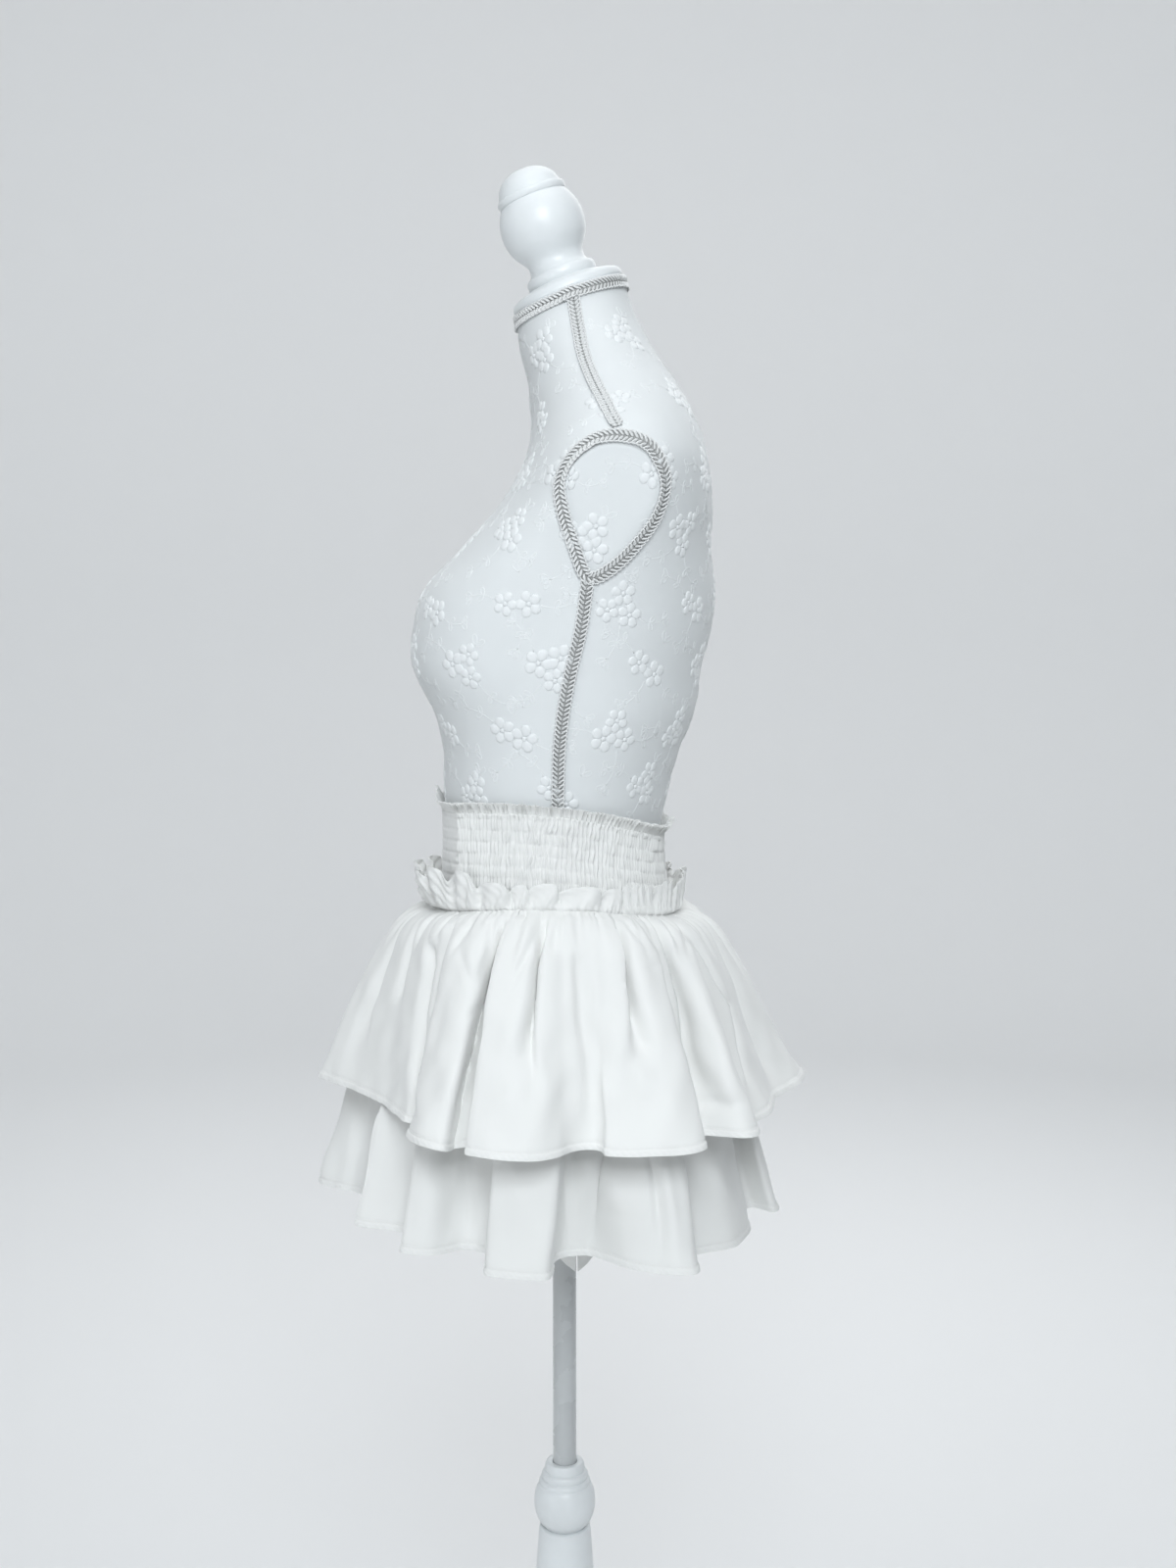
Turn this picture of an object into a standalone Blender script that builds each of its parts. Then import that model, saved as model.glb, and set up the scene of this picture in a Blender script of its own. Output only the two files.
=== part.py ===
"""White tiered skort on a limbless dress form.

Metres, +Z up. The form faces -Y and its left side is at +X. The origin is the
centre of the stand's underside, on the floor. Angles around the body are
measured from the left side (+X): -90 is the front, +90 the back.
"""

import math
from collections import namedtuple
from functools import lru_cache

import bmesh
import bpy
from mathutils import Vector
from mathutils.bvhtree import BVHTree

# ---------------------------------------------------------------- dress form
FormRing = namedtuple(
    "FormRing", "height centre_y half_depth half_width front_square back_square tilt_deg"
)
FORM_RINGS = (
    FormRing(0.815, 0.0030, 0.1000, 0.136, 2.20, 2.20, 0.0),
    FormRing(0.840, 0.0040, 0.1030, 0.140, 2.20, 2.20, 0.0),
    FormRing(0.880, 0.0010, 0.1005, 0.135, 2.20, 2.20, 0.0),
    FormRing(0.920, -0.0030, 0.0940, 0.126, 2.20, 2.20, 0.0),
    FormRing(0.950, -0.0055, 0.0885, 0.118, 2.20, 2.20, 0.0),
    FormRing(0.975, -0.0080, 0.0845, 0.113, 2.20, 2.20, 0.0),
    FormRing(1.000, -0.0085, 0.0830, 0.111, 2.20, 2.20, 0.0),
    FormRing(1.020, -0.0075, 0.0840, 0.112, 2.20, 2.20, 0.0),
    FormRing(1.047, -0.0055, 0.0875, 0.116, 2.20, 2.20, 0.0),
    FormRing(1.078, -0.0012, 0.0925, 0.122, 2.30, 2.20, 0.0),
    FormRing(1.108, 0.0005, 0.1020, 0.128, 2.45, 2.25, 0.0),
    FormRing(1.139, -0.0045, 0.1115, 0.133, 2.60, 2.30, 0.0),
    FormRing(1.170, 0.0003, 0.1160, 0.137, 2.65, 2.30, 0.0),
    FormRing(1.200, 0.0070, 0.1125, 0.141, 2.60, 2.35, 0.0),
    FormRing(1.230, 0.0197, 0.0975, 0.148, 2.50, 2.40, 0.0),
    FormRing(1.260, 0.0336, 0.0845, 0.157, 2.40, 2.40, 0.0),
    FormRing(1.290, 0.0408, 0.0725, 0.163, 2.30, 2.40, 0.0),
    FormRing(1.310, 0.0410, 0.0665, 0.152, 2.20, 2.30, 0.0),
    FormRing(1.330, 0.0375, 0.0615, 0.129, 2.10, 2.20, 3.0),
    FormRing(1.350, 0.0300, 0.0560, 0.103, 2.00, 2.10, 8.0),
    FormRing(1.370, 0.0215, 0.0495, 0.080, 2.00, 2.00, 13.0),
    FormRing(1.395, 0.0110, 0.0460, 0.060, 2.00, 2.00, 18.0),
    FormRing(1.4225, 0.0047, 0.0437, 0.048, 2.00, 2.00, 21.0),
)
FORM_COLUMNS = 48
FORM_HEIGHTS = (
    0.815, 0.840, 0.868, 0.896, 0.922, 0.946, 0.968, 0.990, 1.012, 1.038, 1.066, 1.094,
    1.120, 1.145, 1.170, 1.195, 1.220, 1.245, 1.270, 1.294, 1.312, 1.326, 1.340, 1.356,
    1.374, 1.397, 1.4225,
)
ARM_PLATE_LOW = 1.205          # height where the flat arm plate begins
ARM_PLATE_HIGH = 1.310
ARM_PLATE_LOW_X = 0.1415       # half-width of the form across the plates
ARM_PLATE_HIGH_X = 0.1570

ArmholePoint = namedtuple("ArmholePoint", "y height")
ARMHOLE = (
    ArmholePoint(0.0430, 1.3050), ArmholePoint(0.0630, 1.2970), ArmholePoint(0.0725, 1.2725),
    ArmholePoint(0.0665, 1.2505), ArmholePoint(0.0525, 1.2310), ArmholePoint(0.0350, 1.2140),
    ArmholePoint(0.0190, 1.2080), ArmholePoint(0.0095, 1.2287), ArmholePoint(0.0012, 1.2550),
    ArmholePoint(0.0005, 1.2750), ArmholePoint(0.0085, 1.2905), ArmholePoint(0.0245, 1.3025),
)
SideSeamPoint = namedtuple("SideSeamPoint", "height y")
SIDE_SEAM = (
    SideSeamPoint(1.1990, 0.0180), SideSeamPoint(1.1700, 0.0136), SideSeamPoint(1.1400, 0.0064),
    SideSeamPoint(1.1100, 0.0012), SideSeamPoint(1.0800, -0.0020), SideSeamPoint(1.0460, -0.0030),
)
ShoulderPoint = namedtuple("ShoulderPoint", "x y")
SHOULDER = (
    ShoulderPoint(0.0560, 0.0105), ShoulderPoint(0.0750, 0.0150), ShoulderPoint(0.1000, 0.0222),
    ShoulderPoint(0.1250, 0.0300), ShoulderPoint(0.1430, 0.0360),
)
BRAID_WIDTH = 0.0098
BRAID_THICKNESS = 0.0025
BRAID_GAP = 0.0009
NECK_BRAID_HIGH = 1.4200
NECK_BRAID_LOW = 1.4090

SEAM_GAP = 0.0003              # space left between neighbouring pieces

CAP_TILT_DEG = 21.0
CAP_HEIGHT = 0.0115
CAP_PROFILE = (                # radius and height, down the outer side
    (0.0000, 0.0115), (0.0282, 0.0115), (0.0345, 0.0093), (0.0410, 0.0079), (0.0437, 0.0053),
    (0.0443, 0.0025), (0.0435, 0.0000), (0.0000, 0.0000),
)
FINIAL_FOOT = CAP_HEIGHT + SEAM_GAP
FINIAL_PROFILE = (
    (0.0000, 0.1010), (0.0098, 0.0998), (0.0182, 0.0963), (0.0241, 0.0909), (0.0262, 0.0845),
    (0.0270, 0.0832), (0.0270, 0.0788), (0.0255, 0.0775),
    (0.0270, 0.0761), (0.0310, 0.0673), (0.0326, 0.0565), (0.0310, 0.0457), (0.0270, 0.0369),
    (0.0232, 0.0320), (0.0217, 0.0270), (0.0225, 0.0230), (0.0260, 0.0205), (0.0272, 0.0180),
    (0.0272, 0.0140), (0.0264, FINIAL_FOOT), (0.0000, FINIAL_FOOT),
)

# --------------------------------------------------------------------- stand
BASE_PROFILE = (
    (0.0000, 0.0200), (0.1690, 0.0200), (0.1732, 0.0182), (0.1750, 0.0140), (0.1750, 0.0024),
    (0.1726, 0.0000), (0.0000, 0.0000),
)
COLUMN_FOOT = 0.0200 + SEAM_GAP
COLUMN_TOP = 0.4355
BORE_RADIUS = 0.0100           # of the column and the ball collar
COLUMN_PROFILE = (
    (BORE_RADIUS, COLUMN_TOP), (0.0176, COLUMN_TOP), (0.0190, 0.4335), (0.0226, 0.3960),
    (0.0262, 0.3450), (0.0276, 0.3000), (0.0268, 0.2400), (0.0242, 0.1600), (0.0232, 0.0900),
    (0.0250, 0.0600), (0.0330, 0.0420), (0.0420, 0.0340), (0.0450, 0.0280),
    (0.0450, COLUMN_FOOT), (BORE_RADIUS, COLUMN_FOOT),
)
COLLAR_FOOT = COLUMN_TOP + SEAM_GAP
COLLAR_NECK_PROFILE = (
    (BORE_RADIUS, 0.4906), (0.0146, 0.4906), (0.0158, 0.4890), (0.0154, 0.4856),
    (0.0174, 0.4844), (0.0172, 0.4808),
)
BALL_HEIGHT = 0.4610
BALL_RADIUS = 0.0243
BALL_RISE = 0.0248             # half of the ball's height, were it whole
BALL_LATITUDES_DEG = (42, 27, 13, -2, -16, -31, -45, -60)
COLLAR_FOOT_PROFILE = ((0.0142, 0.4373), (0.0142, COLLAR_FOOT), (BORE_RADIUS, COLLAR_FOOT))
POLE_RADIUS = 0.0095
POLE_LOW = 0.160
POLE_HIGH = 0.945
SOCKET_INNER_RADIUS = 0.0100
SOCKET_OUTER_RADIUS = 0.0140
SOCKET_TOP = 0.952
FLANGE_RADIUS = 0.035
FLANGE_THICKNESS = 0.004
TURNED_STEPS = 24

# --------------------------------------------------------------------- skort
CLOTH = 0.0010                 # wall of the flounces and the shorts
BAND_CLOTH = 0.0012
BAND_OUT = 0.0022              # outer face of the waistband beyond the form
SHORTS_OUT = 0.0020
LOWER_OUT = 0.0036
LOWER_HIP_OUT = 0.0078         # least distance of the lower flounce from the hips
LOWER_SLACK = 0.10             # how fast that least distance shrinks under the form
UPPER_OUT = 0.0056
TOP_GAP = 0.0008               # upper edges of flounces and shorts under the waist seam

Belt = namedtuple("Belt", "side front back")
BAND_TOP = Belt(1.0345, 1.0290, 1.0090)
WAIST_SEAM = Belt(0.9670, 0.9540, 0.9440)
FRILL_HEIGHT = 0.0080
FRILL_FLARE = 0.0040
FRILL_FLUTES = 24
FRILL_FLUTE_DEPTH = 0.0008
HEADING_HEIGHT = Belt(0.0190, 0.0300, 0.0260)
HEADING_FLARE = Belt(0.0050, 0.0190, 0.0160)
HEADING_WAVES = 15
HEADING_OUT = 0.0052           # foot of the heading beyond the form
HEADING_WAVE = 0.25            # share by which a wave widens the flare
HEADING_RIPPLE = 0.05          # share by which the upper edge rises and dips
UPPER_HEM = Belt(0.8040, 0.8120, 0.8100)
LOWER_HEM = Belt(0.7120, 0.7160, 0.7080)
FRONT_PANEL_HALF_ANGLE = 37.5  # half of the flat front panel, around the front

HemFold = namedtuple("HemFold", "angle_deg radius")
UPPER_FOLDS = (
    HemFold(-91, 0.196), HemFold(-79, 0.176), HemFold(-60, 0.161), HemFold(-44, 0.169),
    HemFold(-37, 0.187), HemFold(-25, 0.203), HemFold(-18, 0.187), HemFold(-8, 0.206),
    HemFold(-1, 0.194), HemFold(4, 0.166), HemFold(9, 0.182), HemFold(15, 0.194),
    HemFold(24, 0.208), HemFold(31, 0.200), HemFold(35, 0.181), HemFold(41, 0.204),
    HemFold(48, 0.187), HemFold(58, 0.184), HemFold(70, 0.175), HemFold(83, 0.186),
    HemFold(95, 0.194), HemFold(106, 0.173), HemFold(118, 0.200), HemFold(130, 0.177),
    HemFold(142, 0.204), HemFold(153, 0.174), HemFold(165, 0.203), HemFold(176, 0.169),
    HemFold(188, 0.205), HemFold(200, 0.180), HemFold(212, 0.206), HemFold(223, 0.172),
    HemFold(234, 0.196), HemFold(245, 0.170), HemFold(257, 0.187),
)
LOWER_FOLDS = (
    HemFold(-99, 0.203), HemFold(-88, 0.166), HemFold(-76, 0.159), HemFold(-64, 0.177),
    HemFold(-53, 0.154), HemFold(-42, 0.180), HemFold(-32, 0.160), HemFold(-24, 0.146),
    HemFold(-17, 0.174), HemFold(-9, 0.179), HemFold(-3, 0.170), HemFold(3, 0.140),
    HemFold(10, 0.140), HemFold(19, 0.170), HemFold(29, 0.192), HemFold(37, 0.163),
    HemFold(50, 0.171), HemFold(65, 0.157), HemFold(80, 0.172), HemFold(92, 0.152),
    HemFold(104, 0.175), HemFold(116, 0.150), HemFold(129, 0.181), HemFold(141, 0.153),
    HemFold(153, 0.179), HemFold(165, 0.149), HemFold(177, 0.176), HemFold(188, 0.145),
    HemFold(200, 0.179), HemFold(212, 0.152), HemFold(223, 0.181), HemFold(234, 0.155),
    HemFold(246, 0.176),
)
FlareStep = namedtuple("FlareStep", "drop front back fold")
FLARE = (
    FlareStep(0.00, 0.00, 0.00, 0.00), FlareStep(0.02, 0.17, 0.10, 0.00),
    FlareStep(0.07, 0.37, 0.24, 0.06), FlareStep(0.18, 0.46, 0.35, 0.22),
    FlareStep(0.36, 0.55, 0.47, 0.42), FlareStep(0.55, 0.66, 0.58, 0.60),
    FlareStep(0.75, 0.80, 0.72, 0.80), FlareStep(0.90, 0.93, 0.88, 0.94),
    FlareStep(1.00, 1.00, 1.00, 1.00),
)
UPPER_MEAN_RADIUS = 0.187
LOWER_MEAN_RADIUS = 0.164
TIER_COLUMNS = 100
UPPER_DROPS = (0.0, 0.05, 0.16, 0.38, 0.70, 1.0)
LOWER_DROPS = (0.0, 0.12, 0.32, 0.52, 0.68, 0.84, 1.0)
UPPER_SIDE_SEAM_DEG = -6.0
LOWER_SIDE_SEAM_DEG = 2.0
TIER_CLEARANCE = 0.0020

CROTCH_X = 0.034               # the pole stands in the right leg of the shorts
CROTCH_Y = 0.010
CROTCH_HEIGHT = 0.660
LEG_SIDE_X = 0.110
LEG_SIDE_HEIGHT = 0.738
LEG_HALF_DEPTH = 0.070
INSEAM_SHARE = 0.11            # part of a panel's foot that is sewn to its inseam
INSEAM_GAP = 0.0009
HIP_EASE = 0.0020
SHORTS_LEAVE_FORM = 0.812      # below this height the shorts hang free
SHORTS_COLUMNS = 12
SHORTS_ROWS_ON_FORM = 4
SHORTS_ROWS_FREE = 6


# ------------------------------------------------------------------- helpers
def clear_scene():
    """Remove every object of the open scene."""
    for item in list(bpy.data.objects):
        bpy.data.objects.remove(item, do_unlink=True)


def make_collection(name):
    """Return a new collection linked to the scene."""
    collection = bpy.data.collections.new(name)
    bpy.context.scene.collection.children.link(collection)
    return collection


def make_material(name, colour, roughness, sheen=0.0):
    """Return a Principled material."""
    material = bpy.data.materials.new(name)
    material.use_nodes = True
    shader = material.node_tree.nodes["Principled BSDF"]
    shader.inputs["Base Color"].default_value = (*colour, 1.0)
    shader.inputs["Roughness"].default_value = roughness
    shader.inputs["Metallic"].default_value = 0.0
    shader.inputs["Sheen Weight"].default_value = sheen
    return material


def add_object(name, mesh, collection, material):
    """Link a mesh as a named object with one material."""
    mesh.materials.append(material)
    item = bpy.data.objects.new(name, mesh)
    collection.objects.link(item)
    return item


def smooth_value(keys, values, key):
    """Value of a smooth curve through the pairs, held level past both ends."""
    if key <= keys[0]:
        return values[0]
    if key >= keys[-1]:
        return values[-1]
    last = len(keys) - 1
    i = max(n for n in range(last) if keys[n] <= key)

    def slope(n):
        before, after = max(n - 1, 0), min(n + 1, last)
        return (values[after] - values[before]) / (keys[after] - keys[before])

    width = keys[i + 1] - keys[i]
    t = (key - keys[i]) / width
    return (
        values[i] * (2 * t**3 - 3 * t**2 + 1)
        + slope(i) * width * (t**3 - 2 * t**2 + t)
        + values[i + 1] * (3 * t**2 - 2 * t**3)
        + slope(i + 1) * width * (t**3 - t**2)
    )


def table_value(table, key_name, value_name, key):
    """Smooth lookup of one named column of a table by another."""
    keys = [getattr(row, key_name) for row in table]
    values = [getattr(row, value_name) for row in table]
    return smooth_value(keys, values, key)


def belt_value(belt, angle):
    """Value around the body of a quantity known at the side, front and back."""
    along = math.sin(angle)
    lean = (belt.back - belt.front) / 2
    bend = (belt.back + belt.front) / 2 - belt.side
    return belt.side + lean * along + bend * along**2


def signed_power(value, power):
    """Power that keeps the sign of its base."""
    return math.copysign(abs(value) ** power, value)


# ----------------------------------------------------------------- form shape
@lru_cache(maxsize=None)
def form_ring(height):
    """Section of the form at a height."""
    columns = [
        table_value(FORM_RINGS, "height", name, height) for name in FormRing._fields[1:]
    ]
    return FormRing(height, *columns)


def arm_plate_x(height):
    """Half-width of the form across its flat arm plates."""
    t = (height - ARM_PLATE_LOW) / (ARM_PLATE_HIGH - ARM_PLATE_LOW)
    return ARM_PLATE_LOW_X + t * (ARM_PLATE_HIGH_X - ARM_PLATE_LOW_X)


def form_point(angle, height, out=0.0):
    """Point of the form's surface, or of a larger form that lies outside it."""
    ring = form_ring(height)
    square = ring.front_square if math.sin(angle) < 0 else ring.back_square
    x = (ring.half_width + out) * signed_power(math.cos(angle), 2 / square)
    depth = (ring.half_depth + out) * signed_power(math.sin(angle), 2 / square)
    if height > ARM_PLATE_LOW:
        limit = arm_plate_x(height) + out
        x = max(-limit, min(limit, x))
    tilt = math.radians(ring.tilt_deg)
    return Vector((x, ring.centre_y + depth * math.cos(tilt), height + depth * math.sin(tilt)))


def form_angle(heading, height, out):
    """Angle at which the form's section crosses a heading from the stand's axis."""
    angle = heading
    for _ in range(10):
        point = form_point(angle, height, out)
        error = heading - math.atan2(point.y, point.x)
        angle += math.atan2(math.sin(error), math.cos(error))
    return angle


# ------------------------------------------------------------- mesh builders
def wall_object(name, rows, closed, thickness, collection, material, outward=False):
    """Cloth wall through rows of points, given from top to bottom.

    Points run anticlockwise seen from above. An open wall's rows have one more
    point past each end, which only sets the wall's direction there, so that the
    cut edges of two neighbours stay parallel.
    """
    count = len(rows[0])
    inside = range(count) if closed else range(1, count - 1)
    faces_of = []
    for r, row in enumerate(rows):
        above, below = rows[max(r - 1, 0)], rows[min(r + 1, len(rows) - 1)]
        line = []
        for c in inside:
            across = row[(c + 1) % count] - row[c - 1]
            line.append(across.cross(above[c] - below[c]).normalized())
        faces_of.append(line)
    given = [[row[c] for c in inside] for row in rows]
    if not closed:
        given = [trim_ends(row) for row in given]
    shift = thickness if outward else -thickness
    moved = [
        [point + normal * shift for point, normal in zip(row, normals)]
        for row, normals in zip(given, faces_of)
    ]
    outer, inner = (moved, given) if outward else (given, moved)

    body = bmesh.new()
    front = [[body.verts.new(point) for point in row] for row in outer]
    back = [[body.verts.new(point) for point in row] for row in inner]
    columns = len(given[0])
    spans = columns if closed else columns - 1
    for r in range(len(rows) - 1):
        for c in range(spans):
            after = (c + 1) % columns
            falling = (outer[r][c] - outer[r + 1][after]).length
            rising = (outer[r][after] - outer[r + 1][c]).length
            for wall, step in ((front, -1), (back, 1)):
                ring = [wall[r][c], wall[r][after], wall[r + 1][after], wall[r + 1][c]]
                if rising < falling:
                    ring = ring[1:] + ring[:1]
                body.faces.new((ring[0], ring[1], ring[2])[::step])
                body.faces.new((ring[0], ring[2], ring[3])[::step])
        if not closed:
            body.faces.new((front[r][0], back[r][0], back[r + 1][0], front[r + 1][0]))
            body.faces.new((back[r][-1], front[r][-1], front[r + 1][-1], back[r + 1][-1]))
    for c in range(spans):
        after = (c + 1) % columns
        body.faces.new((front[0][c], front[0][after], back[0][after], back[0][c]))
        body.faces.new((back[-1][c], back[-1][after], front[-1][after], front[-1][c]))
    mesh = bpy.data.meshes.new(name)
    body.to_mesh(mesh)
    body.free()
    mesh.shade_smooth()
    return add_object(name, mesh, collection, material)


def trim_ends(row, amount=0.75 * SEAM_GAP):
    """Draw both ends of a row of points inwards, to leave the seam's gap."""
    trimmed = list(row)
    trimmed[0] = row[0] + (row[1] - row[0]).normalized() * amount
    trimmed[-1] = row[-1] + (row[-2] - row[-1]).normalized() * amount
    return trimmed


def turned_object(name, profile, collection, material, loop=False):
    """Solid turned about Z from a profile that runs down its outer side."""
    mesh = bpy.data.meshes.new(name)
    points = [(radius, 0.0, height) for radius, height in profile]
    edges = [(i, i + 1) for i in range(len(points) - 1)]
    if loop:
        edges.append((len(points) - 1, 0))
    mesh.from_pydata(points, edges, [])
    item = add_object(name, mesh, collection, material)
    screw = item.modifiers.new("Turn", "SCREW")
    screw.steps = TURNED_STEPS
    screw.render_steps = TURNED_STEPS
    screw.use_merge_vertices = True
    screw.merge_threshold = 0.00001
    screw.use_smooth_shade = True
    return item


def smooth_path(points, spacing, closed=False):
    """Evenly spaced points of a smooth curve through the given points."""
    count = len(points)
    dense = []
    spans = count if closed else count - 1
    for i in range(spans):
        if closed:
            p0, p1, p2, p3 = (points[(i + k) % count] for k in (-1, 0, 1, 2))
        else:
            p0, p1 = points[max(i - 1, 0)], points[i]
            p2, p3 = points[i + 1], points[min(i + 2, count - 1)]
        for step in range(12):
            t = step / 12
            dense.append(
                0.5 * ((2 * p1) + (p2 - p0) * t + (2 * p0 - 5 * p1 + 4 * p2 - p3) * t**2
                       + (3 * p1 - p0 - 3 * p2 + p3) * t**3)
            )
    dense.append(points[0].copy() if closed else points[-1].copy())
    lengths = [0.0]
    for a, b in zip(dense, dense[1:]):
        lengths.append(lengths[-1] + (b - a).length)
    total = lengths[-1]
    steps = max(2, round(total / spacing))
    path = []
    n = 0
    for k in range(steps if closed else steps + 1):
        wanted = total * k / steps
        while n < len(lengths) - 2 and lengths[n + 1] < wanted:
            n += 1
        span = lengths[n + 1] - lengths[n]
        path.append(dense[n].lerp(dense[n + 1], (wanted - lengths[n]) / span))
    return path


# ---------------------------------------------------------------- dress form
def build_torso(collection, cutters, material):
    """Padded body: a loft through its sections, with the bore for the socket."""
    mesh = bpy.data.meshes.new("torso")
    body = bmesh.new()
    rings = []
    for height in FORM_HEIGHTS:
        angles = [2 * math.pi * c / FORM_COLUMNS for c in range(FORM_COLUMNS)]
        rings.append([body.verts.new(form_point(angle, height)) for angle in angles])
    for low, high in zip(rings, rings[1:]):
        for c in range(FORM_COLUMNS):
            after = (c + 1) % FORM_COLUMNS
            body.faces.new((low[c], low[after], high[after], high[c]))
    body.faces.new(list(reversed(rings[0])))
    body.faces.new(rings[-1])
    body.to_mesh(mesh)
    body.free()
    mesh.shade_smooth()
    torso = add_object("torso", mesh, collection, material)

    low = FORM_RINGS[0].height - 0.01
    high = SOCKET_TOP + SEAM_GAP
    bpy.ops.mesh.primitive_cylinder_add(
        vertices=TURNED_STEPS, radius=SOCKET_OUTER_RADIUS + 2 * SEAM_GAP, depth=high - low,
        location=(0, 0, (high + low) / 2),
    )
    bore = bpy.context.object
    bore.name = "socket_bore"
    bore.hide_render = True
    bore.display_type = "WIRE"
    for other in list(bore.users_collection):
        other.objects.unlink(bore)
    cutters.objects.link(bore)
    cut = torso.modifiers.new("Bore", "BOOLEAN")
    cut.operation = "DIFFERENCE"
    cut.object = bore
    return torso


def build_socket(collection, material):
    """Blind sleeve in the body, with the flange under it."""
    under = FORM_RINGS[0].height - SEAM_GAP
    profile = (
        (0.0, SOCKET_TOP),
        (SOCKET_OUTER_RADIUS, SOCKET_TOP),
        (SOCKET_OUTER_RADIUS, under),
        (FLANGE_RADIUS, under),
        (FLANGE_RADIUS, under - FLANGE_THICKNESS),
        (SOCKET_INNER_RADIUS, under - FLANGE_THICKNESS),
        (SOCKET_INNER_RADIUS, POLE_HIGH + SEAM_GAP),
        (0.0, POLE_HIGH + SEAM_GAP),
    )
    return turned_object("socket", profile, collection, material)


def build_cap_and_finial(collection, material):
    """Turned neck cap and its finial, leaning forward with the neck."""
    top = FORM_RINGS[-1]
    tilt = math.radians(CAP_TILT_DEG)
    axis = Vector((0, -math.sin(tilt), math.cos(tilt)))
    foot = Vector((0, top.centre_y, top.height)) + axis * SEAM_GAP
    for name, profile in (("neck_cap", CAP_PROFILE), ("finial", FINIAL_PROFILE)):
        piece = turned_object(name, profile, collection, material)
        piece.location = foot
        piece.rotation_euler = (tilt, 0, 0)


def ribbon_rows(path, closed, surface, outward_hint):
    """Three rows of points on the surface along a path: upper edge, middle, lower edge."""
    count = len(path)
    rows = ([], [], [])
    for i, point in enumerate(path):
        if closed:
            along = path[(i + 1) % count] - path[i - 1]
        else:
            along = path[min(i + 1, count - 1)] - path[max(i - 1, 0)]
        normal = surface.find_nearest(point)[1]
        if normal.dot(outward_hint(point)) < 0:
            normal = -normal
        across = normal.cross(along).normalized() * (BRAID_WIDTH / 2)
        for row, offset in zip(rows, (across, Vector(), -across)):
            near, facing = surface.find_nearest(point + offset)[:2]
            row.append(near + facing * BRAID_GAP)
    lift_clear(rows, closed, surface)
    if not closed:
        rows = [[2 * row[0] - row[1], *row, 2 * row[-1] - row[-2]] for row in rows]
    return rows


def lift_clear(rows, closed, surface):
    """Raise the points of a strip until its faces clear the edges of the surface."""
    columns = len(rows[0])
    shares = (0.0, 0.2, 0.4, 0.6, 0.8, 1.0)
    spans = columns if closed else columns - 1
    for r in range(len(rows) - 1):
        for c in [*range(spans), *range(spans)]:
            corners = [(r, c), (r, (c + 1) % columns), (r + 1, c), (r + 1, (c + 1) % columns)]
            for u in shares:
                for v in shares:
                    a, b, d, e = (rows[i][j] for i, j in corners)
                    probe = a.lerp(b, u).lerp(d.lerp(e, u), v)
                    near, facing = surface.find_nearest(probe)[:2]
                    short = BRAID_GAP - (probe - near).dot(facing)
                    if short > 0:
                        for i, j in corners:
                            rows[i][j] = rows[i][j] + facing * short


def build_braids(torso, collection, material):
    """Gimp braid round the neck and armholes, along the shoulders and side seams."""
    bpy.context.view_layer.update()
    surface = BVHTree.FromObject(torso, bpy.context.evaluated_depsgraph_get())

    def outward(point):
        return point - Vector((0, 0.01, min(point.z, 1.28)))

    angles = [2 * math.pi * c / FORM_COLUMNS for c in range(FORM_COLUMNS)]
    neck_rows = [
        [form_point(angle, height, BRAID_GAP) for angle in angles]
        for height in (NECK_BRAID_HIGH, (NECK_BRAID_HIGH + NECK_BRAID_LOW) / 2, NECK_BRAID_LOW)
    ]
    wall_object("neck_braid", neck_rows, True, BRAID_THICKNESS, collection, material, True)

    for side, sign in (("left", 1), ("right", -1)):
        paths = {}
        armhole = []
        for point in ARMHOLE:
            hit = surface.ray_cast(Vector((sign * 0.4, point.y, point.height)), Vector((-sign, 0, 0)))
            armhole.append(hit[0])
        if sign > 0:
            armhole.reverse()
        paths["armhole_braid"] = (smooth_path(armhole, 0.009, True), True)
        shoulder = []
        for point in SHOULDER:
            hit = surface.ray_cast(Vector((sign * point.x, point.y, 1.6)), Vector((0, 0, -1)))
            shoulder.append(hit[0])
        paths["shoulder_braid"] = (smooth_path(shoulder, 0.010), False)
        seam = []
        for point in SIDE_SEAM:
            hit = surface.ray_cast(Vector((sign * 0.4, point.y, point.height)), Vector((-sign, 0, 0)))
            seam.append(hit[0])
        paths["side_braid"] = (smooth_path(seam, 0.011), False)
        for name, (path, closed) in paths.items():
            rows = ribbon_rows(path, closed, surface, outward)
            wall_object(f"{name}_{side}", rows, closed, BRAID_THICKNESS, collection, material, True)


# --------------------------------------------------------------------- stand
def build_stand(collection, wood, steel):
    """Plain round base, turned column, ball collar and pole."""
    turned_object("base", BASE_PROFILE, collection, wood)
    turned_object("column", COLUMN_PROFILE, collection, wood, loop=True)
    latitudes = [math.radians(latitude) for latitude in BALL_LATITUDES_DEG]
    ball = [
        (BALL_RADIUS * math.cos(a), BALL_HEIGHT + BALL_RISE * math.sin(a)) for a in latitudes
    ]
    collar = (*COLLAR_NECK_PROFILE, *ball, *COLLAR_FOOT_PROFILE)
    turned_object("ball_collar", collar, collection, wood, loop=True)

    bpy.ops.mesh.primitive_cylinder_add(
        vertices=TURNED_STEPS, radius=POLE_RADIUS, depth=POLE_HIGH - POLE_LOW,
        location=(0, 0, (POLE_HIGH + POLE_LOW) / 2),
    )
    pole = bpy.context.object
    pole.name = "pole"
    pole.data.name = "pole"
    pole.data.materials.append(steel)
    for other in list(pole.users_collection):
        other.objects.unlink(pole)
    collection.objects.link(pole)


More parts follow.
